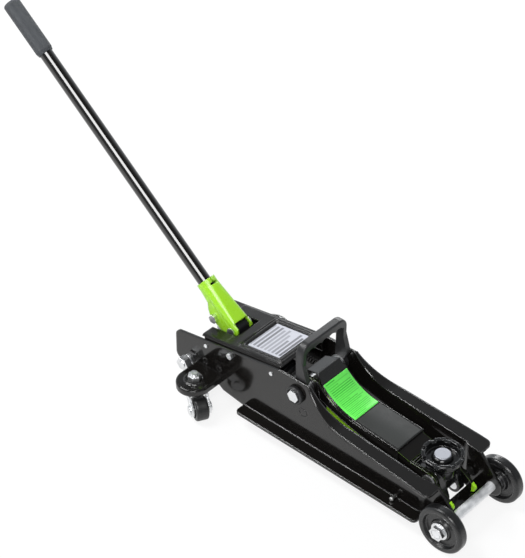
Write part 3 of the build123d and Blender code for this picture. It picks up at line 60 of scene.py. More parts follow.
# Camera worked out from the photograph: degrees, pixels and metres
IMAGE_WIDTH = 525
FOCAL_PIXELS = 1856.6
CAMERA_AZIMUTH = 41.81
CAMERA_ELEVATION = 38.36
CAMERA_ROLL = 0.35
CAMERA_DISTANCE = 2.2835
CAMERA_TARGET = (0.036815, 0.0, 0.19302)
CAMERA_REACH = 50.0

# Arc of the arm's shoulder and of the cover's top over it: places in x and z, in metres
SHOULDER_START = (0.210875, 0.08393)
SHOULDER_RADIUS = 0.078
SHOULDER_SLOPE = math.radians(4.0)
COVER_RADIUS = 0.0825
SHOULDER_CENTRE = (
    SHOULDER_START[0] + SHOULDER_RADIUS * math.sin(SHOULDER_SLOPE),
    SHOULDER_START[1] + SHOULDER_RADIUS * math.cos(SHOULDER_SLOPE),
)

# Panels on the arm cover: the green one's ends in degrees over the arc, the grey one's in metres along
# the line ahead of the arc, and the strip's section, height over the cover and rows
GREEN_ARC = (0.9, 41.9)
GREY_RUN = (-0.0665, -0.0005)
PANEL_HALF_WIDTH = 0.0222
PANEL_HALF_THICKNESS = 0.00035
PANEL_CORNER = 0.0003
PANEL_CORNER_STEPS = 3
PANEL_LIFT = 0.0001
PANEL_ROWS = 40

# Point that the lamps face, in metres
LAMP_TARGET = (0.05, 0.0, 0.1)

# Lamps: name, direction from the jack, distance, sizes in metres, direction of the long side, power
LAMPS = (
    ("key_light", (0.3925, -0.558, 0.7311), 8.06, (5.2, 2.1), (0.37, 0.81, 0.45), "key_power"),
    ("edge_light", (-0.44, -0.28, 0.86), 3.0, (1.5, 0.7), (1.0, 0.0, 0.0), "edge_power"),
    ("rear_light", (-0.46, 0.79, 0.40), 3.0, (1.2, 0.5), (1.0, 0.0, 0.0), "rear_power"),
)

# Point on the handle's axis, in metres, direction of its upper side and the ribs round the grip
SOCKET_ORIGIN = (-0.005609, 0.0, 0.090744)
SOCKET_FRONT = (0.633, 0.0, 0.774)
GRIP_RIBS = 64.0

# Surroundings: heights between which they fade, the zenith's share of the horizon's brightness, the
# direction towards the brighter side, where that side starts and ends, and the other side's share
SKY_FADE = (0.38, 0.85)
ZENITH_SHARE = 0.3
BRIGHT_SIDE = (-0.8, 0.6, 0.0)
BRIGHT_SPAN = (-0.3, 0.6)
DULL_SHARE = 0.3
SKY_TINT = (0.9, 0.95, 1.0, 1.0)

# Floor: tones of its mottle, and the share of plain white in what the camera and reflections see of it
FLOOR_TONES = (0.84, 0.88)
FLOOR_WHITE = 0.84

# Colours that go with one kind of piece
WHEEL_BLACK = (0.009, 0.009, 0.0095)
NYLON_BLACK = (0.012, 0.012, 0.012)
SADDLE_BLACK = (0.004, 0.004, 0.0043)
PUMP_BLACK = (0.01, 0.01, 0.011)
BAIL_BLACK = (0.018, 0.018, 0.019)
SPRING_GREY = (0.34, 0.34, 0.35)
SCREW_GREY = (0.42, 0.43, 0.47)
# The axle's zinc is lighter than the other zinc as painted light
AXLE_PAINTED_LIGHT_GREY = (0.95, 0.96, 0.97)
PLATE_SHEET = (0.46, 0.47, 0.52)
PLATE_INK = (0.05, 0.05, 0.06)
GREEN_SHEET = (0.15, 0.86, 0.11)
GREEN_INK = (0.03, 0.42, 0.03)
GREY_SHEET = (0.014, 0.016, 0.015)

# How much lighter the covers are than the chassis enamel, and how much the arm's lime is lifted over the
# socket's as painted light on the arm's shaded sliver
COVER_LIGHTER = 1.2
ARM_PAINTED_LIGHT = 1.3

# Boxes of the lift arm that stay lime: lower and upper corners in metres, y from the middle. Outside them
# the lime arm is painted black as painted shade, which at the rear of the cheeks also stands in for the
# cover's deeper black lip
ARM_UNSHADED_LIME = (
    ((0.165, 0.0235, 0.0), (0.262, 0.03, 0.2)),
    ((0.357, 0.0, 0.0), (0.4, 0.03, 0.2)),
)

# Corners of a new piece closer than this are one corner, in metres
MERGE_DISTANCE = 1e-7

# Places of the trim on the side plates, in metres
PLATE_FACE = 0.0455
ARM_PIVOT = (0.133875, 0.092)
PEG_PLACE = (0.2943, 0.0265)

# Outlines of the trim: distance from the plate and radius, in metres
COLLAR_PROFILE = (
    (0.0, 0.0094),
    (0.0048, 0.0094),
    (0.0055, 0.0101),
    (0.0055, 0.0117),
    (0.0042, 0.0125),
    (0.0, 0.0125),
    (0.0, 0.0094),
)
COLLAR_STEPS = 48
PEG_PROFILE = (
    (0.0, 0.0),
    (0.0, 0.0018),
    (0.007, 0.0018),
    (0.007, 0.0027),
    (0.0095, 0.0027),
    (0.0102, 0.002),
    (0.0102, 0.0),
)
PEG_STEPS = 24

# Sizes of the springs in metres, with the radius at the middle of the wire, and the steps of their surface
RETURN_SIZE = {"length": 0.075, "radius": 0.0045, "wire": 0.0016, "turns": 18}
PLUNGER_SIZE = {"length": 0.02385, "radius": 0.0074, "wire": 0.0018, "turns": 3}
STEPS_IN_TURN = 28
STEPS_ROUND_WIRE = 10

# Springs: name, CAD node, seat on the pump block, direction, size and the body at the far end
SPRINGS = (
    ("return_coil_left", "return_spring_left", (0.015875, -0.031, 0.05), (1, 0, 0), RETURN_SIZE, "ram"),
    ("return_coil_right", "return_spring_right", (0.015875, 0.031, 0.05), (1, 0, 0), RETURN_SIZE, "ram"),
    ("plunger_coil", "plunger_spring", (-0.029825, 0.0, 0.066), (0, 0, 1), PLUNGER_SIZE, "pump_plunger"),
)


# Surfaces


def mesh_object(name, vertices, faces):
    """Mesh object from arrays of corners and quads, with smooth shading."""
    mesh = bpy.data.meshes.new(name)
    mesh.from_pydata(vertices.tolist(), [], faces.tolist())
    mesh.polygons.foreach_set("use_smooth", np.ones(len(mesh.polygons), dtype=bool))
    mesh.update()
    piece = bpy.data.objects.new(name, mesh)
    bpy.context.scene.collection.objects.link(piece)
    return piece


def closed_object(name, vertices, faces):
    """Closed mesh object: corners that meet at a pole or seam are merged, and faces point outwards."""
    piece = mesh_object(name, vertices, faces)
    shell = bmesh.new()
    shell.from_mesh(piece.data)
    bmesh.ops.remove_doubles(shell, verts=shell.verts, dist=MERGE_DISTANCE)
    bmesh.ops.recalc_face_normals(shell, faces=shell.faces)
    shell.to_mesh(piece.data)
    shell.free()
    return piece


def grid_faces(rows, columns):
    """Quads of a grid of rows and columns whose last column joins its first."""
    row, column = np.meshgrid(np.arange(rows - 1), np.arange(columns), indexing="ij")
    beside = (column + 1) % columns
    quads = np.stack(
        [
            row * columns + column,
            row * columns + beside,
            (row + 1) * columns + beside,
            (row + 1) * columns + column,
        ],
        axis=-1,
    )
    return quads.reshape(-1, 4)


def rounded_loop(half_width, half_height, corner, steps):
    """Closed loop of a rounded rectangle: four quarter circles about inset corners."""
    turn = np.linspace(0, math.pi / 2, steps)
    starts = np.arange(4)[:, None] * math.pi / 2
    angle = (starts + turn[None, :]).ravel()
    sign_x = np.repeat([1, -1, -1, 1], steps)
    sign_y = np.repeat([1, 1, -1, -1], steps)
    return np.stack(
        [
            sign_x * (half_width - corner) + corner * np.cos(angle),
            sign_y * (half_height - corner) + corner * np.sin(angle),
        ],
        axis=-1,
    )


def swept_solid(name, path, across, up, loops):
    """Surface P(s, t) = path(s) + across(s) u(s, t) + up(s) v(s, t), its end loops shrunk to points.

    A single vector for across serves the whole path.
    """
    across = np.broadcast_to(across, path.shape)
    rings = path[:, None, :] + loops[:, :, :1] * across[:, None, :] + loops[:, :, 1:] * up[:, None, :]
    first = rings[:1].mean(axis=1, keepdims=True)
    last = rings[-1:].mean(axis=1, keepdims=True)
    count = rings.shape[1]
    rings = np.concatenate(
        [np.repeat(first, count, axis=1), rings, np.repeat(last, count, axis=1)], axis=0
    )
    return closed_object(name, rings.reshape(-1, 3), grid_faces(len(rings), count))


def coil_solid(name, seat, axis, length, radius, wire, turns):
    """Round wire swept along the helix P(t) = seat + axis (w / 2 + (L - w) t) + R outward(a), a = 2 pi n t.

    outward(a) = side cos a + other sin a, and the wire's rings stand across the helix's heading.
    """
    axis = np.asarray(axis, dtype=float)
    side = np.roll(axis, 1)
    other = np.cross(axis, side)
    share = np.linspace(0, 1, STEPS_IN_TURN * turns + 1)
    angle = 2 * math.pi * turns * share
    outward = np.cos(angle)[:, None] * side + np.sin(angle)[:, None] * other
    round_way = np.cos(angle)[:, None] * other - np.sin(angle)[:, None] * side
    heading = 2 * math.pi * turns * radius * round_way + (length - wire) * axis
    heading = heading / np.linalg.norm(heading, axis=1, keepdims=True)
    climb = wire / 2 + (length - wire) * share
    path = np.asarray(seat) + climb[:, None] * axis + radius * outward
    turn = np.linspace(0, 2 * math.pi, STEPS_ROUND_WIRE, endpoint=False)
    loop = np.stack([np.cos(turn), np.sin(turn)], axis=-1) * wire / 2
    loops = np.repeat(loop[None], len(share), axis=0)
    return swept_solid(name, path, outward, np.cross(heading, outward), loops)


def turned_solid(name, origin, axis, profile, steps):
    """Surface of revolution: each profile point (along, radius) turned round the axis."""
    axis = np.asarray(axis, dtype=float) / np.linalg.norm(axis)
    side = np.cross(axis, [0.0, 0.0, 1.0])
    side = side / np.linalg.norm(side)
    other = np.cross(axis, side)
    angle = np.linspace(0, 2 * math.pi, steps, endpoint=False)
    ring = np.cos(angle)[:, None] * side + np.sin(angle)[:, None] * other
    profile = np.asarray(profile)
    points = (
        np.asarray(origin)
        + profile[:, None, :1] * axis[None, None, :]
        + profile[:, None, 1:] * ring[None, :, :]
    )
    return closed_object(name, points.reshape(-1, 3), grid_faces(len(profile), steps))


# Materials


class Graph:
    """Shader graph of one material: adds nodes and joins or sets their sockets."""

    def __init__(self, name):
        self.material = bpy.data.materials.new(name)
        self.material.use_nodes = True
        self.tree = self.material.node_tree
        self.tree.nodes.clear()

    def add(self, kind, sockets=None, output=0, **settings):
        """Add a node, set or join its sockets, and return one of its outputs."""
        node = self.tree.nodes.new(kind)
        for key, value in settings.items():
            setattr(node, key, value)
        for key, value in (sockets or {}).items():
            if isinstance(value, bpy.types.NodeSocket):
                self.tree.links.new(value, node.inputs[key])
            else:
                node.inputs[key].default_value = value
        return node.outputs[output]

    def math(self, operation, first, second=0.0):
        """Scalar maths of two values."""
        return self.add("ShaderNodeMath", {0: first, 1: second}, operation=operation)

    def noise(self, place, scale, detail, roughness):
        """Noise between 0 and 1 at a scale in cycles per metre."""
        sockets = {"Vector": place, "Scale": scale, "Detail": detail, "Roughness": roughness}
        return self.add("ShaderNodeTexNoise", sockets)

    def ramp(self, value, low, high, to_low=0.0, to_high=1.0):
        """Clamped map of a value from one range to another."""
        sockets = {
            "Value": value,
            "From Min": low,
            "From Max": high,
            "To Min": to_low,
            "To Max": to_high,
        }
        return self.add("ShaderNodeMapRange", sockets)

    def mix_rgba(self, factor, first, second):
        """Colour between two colours, through the colour sockets of a mix node."""
        node = self.tree.nodes.new("ShaderNodeMix")
        node.data_type = "RGBA"
        for index, value in ((0, factor), (6, first), (7, second)):
            socket = node.inputs[index]
            if isinstance(value, bpy.types.NodeSocket):
                self.tree.links.new(value, socket)
            else:
                socket.default_value = value
        return node.outputs[2]

    def inside(self, place, boxes):
        """1 inside any of the boxes, given by two corners in x, distance from y = 0, and z."""
        split = self.tree.nodes.new("ShaderNodeSeparateXYZ")
        self.tree.links.new(place, split.inputs[0])
        values = (split.outputs[0], self.math("ABSOLUTE", split.outputs[1]), split.outputs[2])
        total = 0.0
        for low, high in boxes:
            share = 1.0
            for value, start, end in zip(values, low, high):
                share = self.math("MULTIPLY", share, self.math("GREATER_THAN", value, start))
                share = self.math("MULTIPLY", share, self.math("LESS_THAN", value, end))
            total = self.math("MAXIMUM", total, share)
        return total

    def finish(self, sockets):
        """Principled surface on the material's output."""
        surface = self.add("ShaderNodeBsdfPrincipled", sockets)
        self.add_output(surface)
        return self.material

    def add_output(self, surface):
        """Join a shader to the material's output."""
        node = self.tree.nodes.new("ShaderNodeOutputMaterial")
        self.tree.links.new(surface, node.inputs["Surface"])


def rgba(colour, factor=1.0):
    """Opaque colour, made lighter or darker by a factor."""
    return (colour[0] * factor, colour[1] * factor, colour[2] * factor, 1.0)


def rounded_normal(graph, radius):
    """Normal that rounds sharp edges, and a mask of those edges."""
    rounded = graph.add("ShaderNodeBevel", {"Radius": radius}, samples=6)
    flat = graph.add("ShaderNodeNewGeometry", output=1)
    likeness = graph.add(
        "ShaderNodeVectorMath", {0: rounded, 1: flat}, output=1, operation="DOT_PRODUCT"
    )
    return rounded, graph.ramp(likeness, 0.995, 0.85)


def enamel(
    name,
    colour,
    roughness,
    peel=0.04,
    edge=0.0016,
    coat=0.0,
    dust=0.25,
    shine=0.34,
    unshaded_boxes=(),
    other=None,
):
    """Sprayed enamel: orange peel, faint handling marks, dust film, rounded edges, and edges lightened
    partly as wear and partly as a painted highlight.

    Outside the boxes, given by their lower and upper corners, the other colour shows instead as painted
    shade.
    """
    graph = Graph(name)
    place = graph.add("ShaderNodeTexCoord", output=3)
    cloud = graph.noise(place, scale=14.0, detail=6.0, roughness=0.6)
    smear = graph.noise(place, scale=70.0, detail=3.0, roughness=0.5)
    grain = graph.noise(place, scale=850.0, detail=2.0, roughness=0.5)
    rounded, edges = rounded_normal(graph, edge)
    # Edges lightened partly as wear and partly as a painted highlight along every rounded edge
    wear_and_painted_highlight = graph.math("MULTIPLY", edges, graph.ramp(smear, 0.35, 0.7, 0.3, 1.0))
    film = graph.ramp(cloud, 0.45, 0.75, 0.0, dust)
    tone = graph.mix_rgba(film, rgba(colour), rgba([0.8 * c + 0.008 for c in colour]))
    # Outside the boxes the other colour is painted on as painted shade
    if unshaded_boxes:
        tone = graph.mix_rgba(graph.inside(place, unshaded_boxes), rgba(other), tone)
    bare_and_highlight_tone = rgba([c * 0.7 + 0.08 for c in colour])
    tone = graph.mix_rgba(graph.math("MULTIPLY", wear_and_painted_highlight, 0.25), tone, bare_and_highlight_tone)
    rough = graph.ramp(smear, 0.3, 0.75, roughness * 0.8, roughness * 1.3)
    bumped = graph.add(
        "ShaderNodeBump", {"Strength": peel, "Distance": 0.0003, "Height": grain, "Normal": rounded}
    )
    return graph.finish(
        {
            "Base Color": tone,
            "Roughness": rough,
            "Specular IOR Level": graph.ramp(edges, 0.0, 1.0, shine, 1.0),
            "Coat Weight": coat,
            "Coat Roughness": roughness * 0.5,
            "Normal": bumped,
            "Coat Normal": rounded,
        }
    )


def plated(name, colour, roughness, scratch=0.05):
    """Plated steel: fine turning marks, soft stains, rounded edges and a painted highlight that lightens
    the edges.
    """
    graph = Graph(name)
    place = graph.add("ShaderNodeTexCoord", output=3)
    stain = graph.noise(place, scale=90.0, detail=5.0, roughness=0.6)
    marks = graph.noise(place, scale=1600.0, detail=2.0, roughness=0.5)
    rounded, edges = rounded_normal(graph, 0.0006)
    tone = graph.mix_rgba(graph.ramp(stain, 0.35, 0.7), rgba(colour, 0.84), rgba(colour))
    # Painted highlight: edges lightened towards pale grey
    tone = graph.mix_rgba(graph.math("MULTIPLY", edges, 0.4), tone, (0.9, 0.9, 0.9, 1.0))
    rough = graph.ramp(stain, 0.3, 0.7, roughness * 0.8, roughness * 1.3)
    bumped = graph.add(
        "ShaderNodeBump", {"Strength": scratch, "Distance": 0.0002, "Height": marks, "Normal": rounded}
    )
    return graph.finish(
        {"Base Color": tone, "Metallic": 1.0, "Roughness": rough, "Normal": bumped}
    )


def moulding(name, colour, roughness, grain_scale, depth):
    """Moulded plastic: fine spark-eroded grain, slight blotches and edges lightened as a painted highlight.
    """
    graph = Graph(name)
    place = graph.add("ShaderNodeTexCoord", output=3)
    blotch = graph.noise(place, scale=45.0, detail=4.0, roughness=0.55)
    grain = graph.add("ShaderNodeTexVoronoi", {"Vector": place, "Scale": grain_scale})
    rounded, edges = rounded_normal(graph, 0.0012)
    tone = graph.mix_rgba(graph.ramp(blotch, 0.35, 0.7), rgba(colour, 0.8), rgba(colour, 1.15))
    # Painted highlight: edges lightened
    tone = graph.mix_rgba(graph.math("MULTIPLY", edges, 0.3), tone, rgba([c + 0.06 for c in colour]))
    bumped = graph.add(
        "ShaderNodeBump", {"Strength": depth, "Distance": 0.0003, "Height": grain, "Normal": rounded}
    )
    return graph.finish(
        {
            "Base Color": tone,
            "Roughness": graph.ramp(blotch, 0.3, 0.7, roughness * 0.9, roughness * 1.1),
            "Normal": bumped,
        }
    )


def ribbed_sleeve(name, colour, roughness):
    """Soft sleeve: fine ribs along it, from the angle round the handle's axis, painted shade in the grooves
    between them, a dull bloom and edges lightened as a painted highlight.
    """
    graph = Graph(name)
    place = graph.add("ShaderNodeTexCoord", output=3)
    split = graph.tree.nodes.new("ShaderNodeSeparateXYZ")
    graph.tree.links.new(place, split.inputs[0])
    offset = graph.add("ShaderNodeVectorMath", {0: place, 1: SOCKET_ORIGIN}, operation="SUBTRACT")
    height = graph.add(
        "ShaderNodeVectorMath", {0: offset, 1: SOCKET_FRONT}, output=1, operation="DOT_PRODUCT"
    )
    angle = graph.math("ARCTAN2", split.outputs[1], height)
    ribs = graph.math("SINE", graph.math("MULTIPLY", angle, GRIP_RIBS))
    bloom = graph.noise(place, scale=60.0, detail=4.0, roughness=0.6)
    rounded, edges = rounded_normal(graph, 0.002)
    tone = graph.mix_rgba(graph.ramp(bloom, 0.35, 0.7), rgba(colour, 0.85), rgba(colour, 1.15))
    # Painted shade darkens the grooves between the ribs
    tone = graph.mix_rgba(graph.ramp(ribs, -1.0, 0.2, 0.35, 0.0), tone, rgba(colour, 0.4))
    # Painted highlight lightens the edges
    tone = graph.mix_rgba(graph.math("MULTIPLY", edges, 0.4), tone, rgba(colour, 2.2))
    bumped = graph.add(
        "ShaderNodeBump", {"Strength": 0.4, "Distance": 0.0004, "Height": ribs, "Normal": rounded}
    )
    return graph.finish({"Base Color": tone, "Roughness": roughness, "Normal": bumped})


def printed_bars(name, sheet, ink, pitch, reach, roughness, fill, shortest):
    """Blank label: sheet with generic bars across it, each of its own length and tone.

    Bars stand a pitch apart and fill a share of it, from one reach across to a drawn length.
    """
    graph = Graph(name)
    place = graph.add("ShaderNodeTexCoord", output=3)
    split = graph.tree.nodes.new("ShaderNodeSeparateXYZ")
    graph.tree.links.new(place, split.inputs[0])
    along, across = split.outputs[0], split.outputs[1]
    row_place = graph.math("DIVIDE", along, pitch)
    row = graph.math("FLOOR", row_place)
    share = graph.math("SUBTRACT", row_place, row)
    draw = graph.add("ShaderNodeTexWhiteNoise", {"W": row}, noise_dimensions="1D")
    beside = graph.math("ADD", row, 0.37)
    shade = graph.add("ShaderNodeTexWhiteNoise", {"W": beside}, noise_dimensions="1D")
    limit = graph.ramp(draw, 0.0, 0.6, reach * (2.0 * shortest - 1.0), reach)
    bar = graph.math(
        "MULTIPLY", graph.math("LESS_THAN", share, fill), graph.math("LESS_THAN", across, limit)
    )
    bar = graph.math("MULTIPLY", bar, graph.math("GREATER_THAN", across, -reach))
    mottle = graph.noise(place, scale=400.0, detail=3.0, roughness=0.6)
    paper = graph.mix_rgba(mottle, rgba(sheet, 0.9), rgba(sheet, 1.06))
    strength = graph.ramp(shade, 0.0, 1.0, 0.35, 0.95)
    tone = graph.mix_rgba(graph.math("MULTIPLY", bar, strength), paper, rgba(ink))
    return graph.finish({"Base Color": tone, "Roughness": roughness})


def dress(material, *names):
    """Give CAD nodes one material."""
    for name in names:
        mesh = NODES[name].data
        mesh.materials.clear()
        mesh.materials.append(material)


def both(name):
    """The left and right nodes of a pair."""
    return f"{name}_left", f"{name}_right"


# Settings


class JackFinish(bpy.types.PropertyGroup):
    """Colours and gloss of the jack's finishes."""

    chassis: FloatVectorProperty(
        name="Chassis", description="Chassis enamel", subtype="COLOR", default=(0.0055, 0.0048, 0.0042)
    )
    lime: FloatVectorProperty(
        name="Lime", description="Socket and arm enamel", subtype="COLOR", default=(0.32, 0.66, 0.02)
    )
    zinc: FloatVectorProperty(
        name="Zinc", description="Plated steel", subtype="COLOR", default=(0.86, 0.87, 0.88)
    )
    grip: FloatVectorProperty(
        name="Grip", description="Handle grip", subtype="COLOR", default=(0.052, 0.057, 0.064)
    )
    gloss: FloatProperty(
        name="Gloss",
        description="Roughness of the enamel",
        subtype="FACTOR",
        default=0.11,
        min=0.02,
        max=1.0,
    )


class JackStage(bpy.types.PropertyGroup):
    """Floor and light of the studio."""

    floor_size: FloatProperty(
        name="Floor", description="Side of the floor", unit="LENGTH", default=40.0, min=2.0
    )
    key_power: FloatProperty(
        name="Key", description="Power of the key light", unit="POWER", default=430.0
    )
    edge_power: FloatProperty(
        name="Edge", description="Power of the edge light", unit="POWER", default=62.0
    )
    rear_power: FloatProperty(
        name="Rear", description="Power of the rear light", unit="POWER", default=34.0
    )
    surround: FloatProperty(
        name="Surround",
        description="Brightness of the surroundings at the horizon",
        default=0.85,
        min=0.0,
    )


# Operators


class JACK_OT_chassis(bpy.types.Operator):
    """Gloss black side plates, castor brackets, tie plate and the fastenings painted with them"""

    bl_idname = "jack.chassis"
    bl_label = "Chassis"

    def execute(self, context):
        finish = context.scene.jack_finish
        black = enamel("chassis_enamel", finish.chassis, finish.gloss, edge=0.003, shine=0.48)
        dress(black, *both("side_plate"), *both("castor_bracket"))
        dress(black, "front_tie_plate", "pump_bolts", "link_studs")
        return {"FINISHED"}


class JACK_OT_covers(bpy.types.Operator):
    """Black rear cover and arm cover"""

    bl_idname = "jack.covers"
    bl_label = "Covers"

    def execute(self, context):
        finish = context.scene.jack_finish
        tone = [COVER_LIGHTER * c for c in finish.chassis]
        dress(enamel("cover_enamel", tone, finish.gloss * 1.6, edge=0.0025, shine=0.42), "rear_cover")
        dress(enamel("arm_cover_enamel", tone, finish.gloss * 1.6, edge=0.002, shine=0.85), "arm_cover")
        return {"FINISHED"}


class JACK_OT_running_gear(bpy.types.Operator):
    """Satin black front wheels and nylon castor wheels"""

    bl_idname = "jack.running_gear"
    bl_label = "Running gear"

    def execute(self, context):
        satin = enamel("wheel_satin", WHEEL_BLACK, 0.27, peel=0.1, edge=0.0022, shine=0.55)
        dress(satin, *both("front_wheel"))
        nylon = moulding("castor_nylon", NYLON_BLACK, 0.38, grain_scale=900.0, depth=0.08)
        dress(nylon, *both("castor_wheel"))
        return {"FINISHED"}


class JACK_OT_plated_parts(bpy.types.Operator):
    """Zinc-plated axle, pins, bolts, nuts, ram and castor forks, and the duller saddle screw"""

    bl_idname = "jack.plated_parts"
    bl_label = "Plated parts"

    def execute(self, context):
        zinc = plated("zinc_plate", context.scene.jack_finish.zinc, 0.34)
        names = (
            "axle_collars axle_nuts rear_tie_rod tie_rod_nuts castor_studs "
            "castor_nuts castor_bearings cover_screws carry_bolts arm_shaft arm_bushes ram_roller "
            "ram_roller_pin saddle_pin link_pins release_valve "
            "filler_plug socket_hinge_pin pump_roller pump_roller_bolt pump_plunger "
            "ram_piston ram_crosshead ram_cylinder"
        ).split()
        dress(zinc, *names, *both("castor_fork"), *both("castor_pin"))
        dress(plated("screw_steel", SCREW_GREY, 0.5, scratch=0.3), "saddle_screw")
        # Lighter copy of the zinc on the axle as painted light
        dress(plated("axle_zinc", AXLE_PAINTED_LIGHT_GREY, 0.64), "front_axle")
        return {"FINISHED"}


class JACK_OT_hydraulics(bpy.types.Operator):
    """Pump block, reservoir and gland, and coil springs made in place of the CAD springs"""

    bl_idname = "jack.hydraulics"
    bl_label = "Hydraulics"

    def execute(self, context):
        dark = enamel("pump_enamel", PUMP_BLACK, 0.35, peel=0.2)
        dress(dark, "pump_block", "oil_reservoir", "ram_gland")
        spring = plated("spring_steel", SPRING_GREY, 0.35)
        for name, node, seat, axis, size, body in SPRINGS:
            coil = coil_solid(name, seat, axis, **size)
            coil.data.materials.append(spring)
            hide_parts(node)
            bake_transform(coil)
        return {"FINISHED"}


class JACK_OT_lifting_parts(bpy.types.Operator):
    """Lime socket, lime arm lightened as painted light and painted black as painted shade outside its lit
    boxes, satin saddle, bracket and links
    """

    bl_idname = "jack.lifting_parts"
    bl_label = "Lifting parts"

    def execute(self, context):
        finish = context.scene.jack_finish
        lime = enamel(
            "lime_enamel",
            finish.lime,
            finish.gloss * 2.6,
            coat=0.25,
            dust=0.1,
            edge=0.003,
            shine=0.45,
        )
        dress(lime, "handle_socket")
        # The arm's black outside the lime boxes is painted shade
        arm = enamel(
            "arm_enamel",
            # Lime lightened as painted light for the arm's shaded sliver
            [ARM_PAINTED_LIGHT * c for c in finish.lime],
            finish.gloss,
            dust=0.1,
            unshaded_boxes=ARM_UNSHADED_LIME,
            other=finish.chassis,
        )
        dress(arm, "lift_arm")
        satin = enamel("saddle_satin", SADDLE_BLACK, 0.1, peel=0.06, edge=0.0022, shine=0.5)
        dress(satin, "saddle", "saddle_bracket", *both("level_link"))
        return {"FINISHED"}


class JACK_OT_handle(bpy.types.Operator):
    """Gloss handle tube, sleeve grip and moulded carry bail"""

    bl_idname = "jack.handle"
    bl_label = "Handle and bail"

    def execute(self, context):
        finish = context.scene.jack_finish
        tube = enamel(
            "tube_enamel",
            finish.chassis,
            finish.gloss * 0.5,
            peel=0.0,
            edge=0.0006,
            coat=0.7,
            shine=0.5,
        )
        dress(tube, "handle_tube", "handle_stud")
        dress(ribbed_sleeve("grip_sleeve", finish.grip, 0.5), "handle_grip")
        bail = moulding("bail_moulding", BAIL_BLACK, 0.42, grain_scale=1100.0, depth=0.3)
        dress(bail, "carry_handle")
        return {"FINISHED"}


class JACK_OT_trim(bpy.types.Operator):
    """Collars round the bail's bolts and the small peg on the near plate"""

    bl_idname = "jack.trim"
    bl_label = "Trim"

    def execute(self, context):
        for name, side in (("bail_collar_left", -1), ("bail_collar_right", 1)):
            place = (ARM_PIVOT[0], side * PLATE_FACE, ARM_PIVOT[1])
            collar = turned_solid(name, place, (0, side, 0), COLLAR_PROFILE, COLLAR_STEPS)
            collar.data.materials.append(bpy.data.materials["bail_moulding"])
            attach(collar, "chassis")
        place = (PEG_PLACE[0], -PLATE_FACE, PEG_PLACE[1])
        peg = turned_solid("plate_peg", place, (0, -1, 0), PEG_PROFILE, PEG_STEPS)
        peg.data.materials.append(bpy.data.materials["zinc_plate"])
        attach(peg, "chassis")
        return {"FINISHED"}


class JACK_OT_labels(bpy.types.Operator):
    """Blank rating plate and the two blank panels on the arm cover"""

    bl_idname = "jack.labels"
    bl_label = "Blank labels"

    def execute(self, context):
        plate = printed_bars(
            "plate_sheet",
            PLATE_SHEET,
            PLATE_INK,
            pitch=0.0061,
            reach=0.0245,
            roughness=0.4,
            fill=0.6,
            shortest=0.55,
        )
        dress(plate, "rating_plate")
        green = printed_bars(
            "arm_green_sheet",
            GREEN_SHEET,
            GREEN_INK,
            pitch=0.0023,
            reach=0.019,
            roughness=0.35,
            fill=0.4,
            shortest=0.3,
        )
        grey = moulding("arm_grey_sheet", GREY_SHEET, 0.6, grain_scale=1400.0, depth=0.05)
        for name, line, material in (
            ("arm_panel_green", cover_arc(*GREEN_ARC), green),
            ("arm_panel_grey", cover_line(*GREY_RUN), grey),
        ):
            panel = arm_panel(name, *line)
            panel.data.materials.append(material)
            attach(panel, "lift_arm")
        return {"FINISHED"}


def cover_arc(first, last):
    """Points over the cover's arc between two angles, P(a) = centre - R up(a), and up(a) itself.

    The upward direction up(a) is (sin a, 0, cos a).
    """
    angle = SHOULDER_SLOPE + np.radians(np.linspace(first, last, PANEL_ROWS))
    up = np.stack([np.sin(angle), np.zeros(PANEL_ROWS), np.cos(angle)], axis=-1)
    centre = np.array([SHOULDER_CENTRE[0], 0.0, SHOULDER_CENTRE[1]])
    return centre - COVER_RADIUS * up, up


def cover_line(first, last):
    """Points along the cover's straight line between two distances, P(r) = foot - r along, and its up."""
    up = np.array([math.sin(SHOULDER_SLOPE), 0.0, math.cos(SHOULDER_SLOPE)])
    along = np.array([math.cos(SHOULDER_SLOPE), 0.0, -math.sin(SHOULDER_SLOPE)])
    foot = np.array([SHOULDER_CENTRE[0], 0.0, SHOULDER_CENTRE[1]]) - COVER_RADIUS * up
    run = np.linspace(first, last, PANEL_ROWS)
    return foot - run[:, None] * along, np.tile(up, (PANEL_ROWS, 1))


def arm_panel(name, points, up):
    """Thin panel: a rounded strip carried along points of the arm cover, just above them."""
    loop = rounded_loop(PANEL_HALF_WIDTH, PANEL_HALF_THICKNESS, PANEL_CORNER, PANEL_CORNER_STEPS)
    loops = np.repeat(loop[None], PANEL_ROWS, axis=0)
    return swept_solid(name, points + up * PANEL_LIFT, np.array([0.0, 1.0, 0.0]), up, loops)


class JACK_OT_stage(bpy.types.Operator):
    """Pale floor, soft lights, white surroundings and the photograph's camera"""

    bl_idname = "jack.stage"
    bl_label = "Studio"

    def execute(self, context):
        stage = context.scene.jack_stage
        half = stage.floor_size / 2
        corners = half * np.array([[-1.0, -1.0, 0.0], [1.0, -1.0, 0.0], [1.0, 1.0, 0.0], [-1.0, 1.0, 0.0]])
        floor = mesh_object("floor", corners, np.array([[0, 1, 2, 3]]))
        floor.data.materials.append(floor_material())
        target = Vector(LAMP_TARGET)
        for name, aim, far, size, long_axis, power in LAMPS:
            lamp = bpy.data.lights.new(name, "AREA")
            lamp.shape = "RECTANGLE"
            lamp.size, lamp.size_y = size
            lamp.energy = getattr(stage, power)
            light = bpy.data.objects.new(name, lamp)
            context.scene.collection.objects.link(light)
            out = Vector(aim).normalized()
            along = (Vector(long_axis) - out * out.dot(Vector(long_axis))).normalized()
            turn = Matrix((along, out.cross(along), out)).transposed().to_4x4()
            light.matrix_world = Matrix.Translation(target + out * far) @ turn
        context.scene.world = studio_world(stage.surround)
        context.scene.camera = photo_camera(context)
        context.scene.view_settings.view_transform = "Standard"
        return {"FINISHED"}


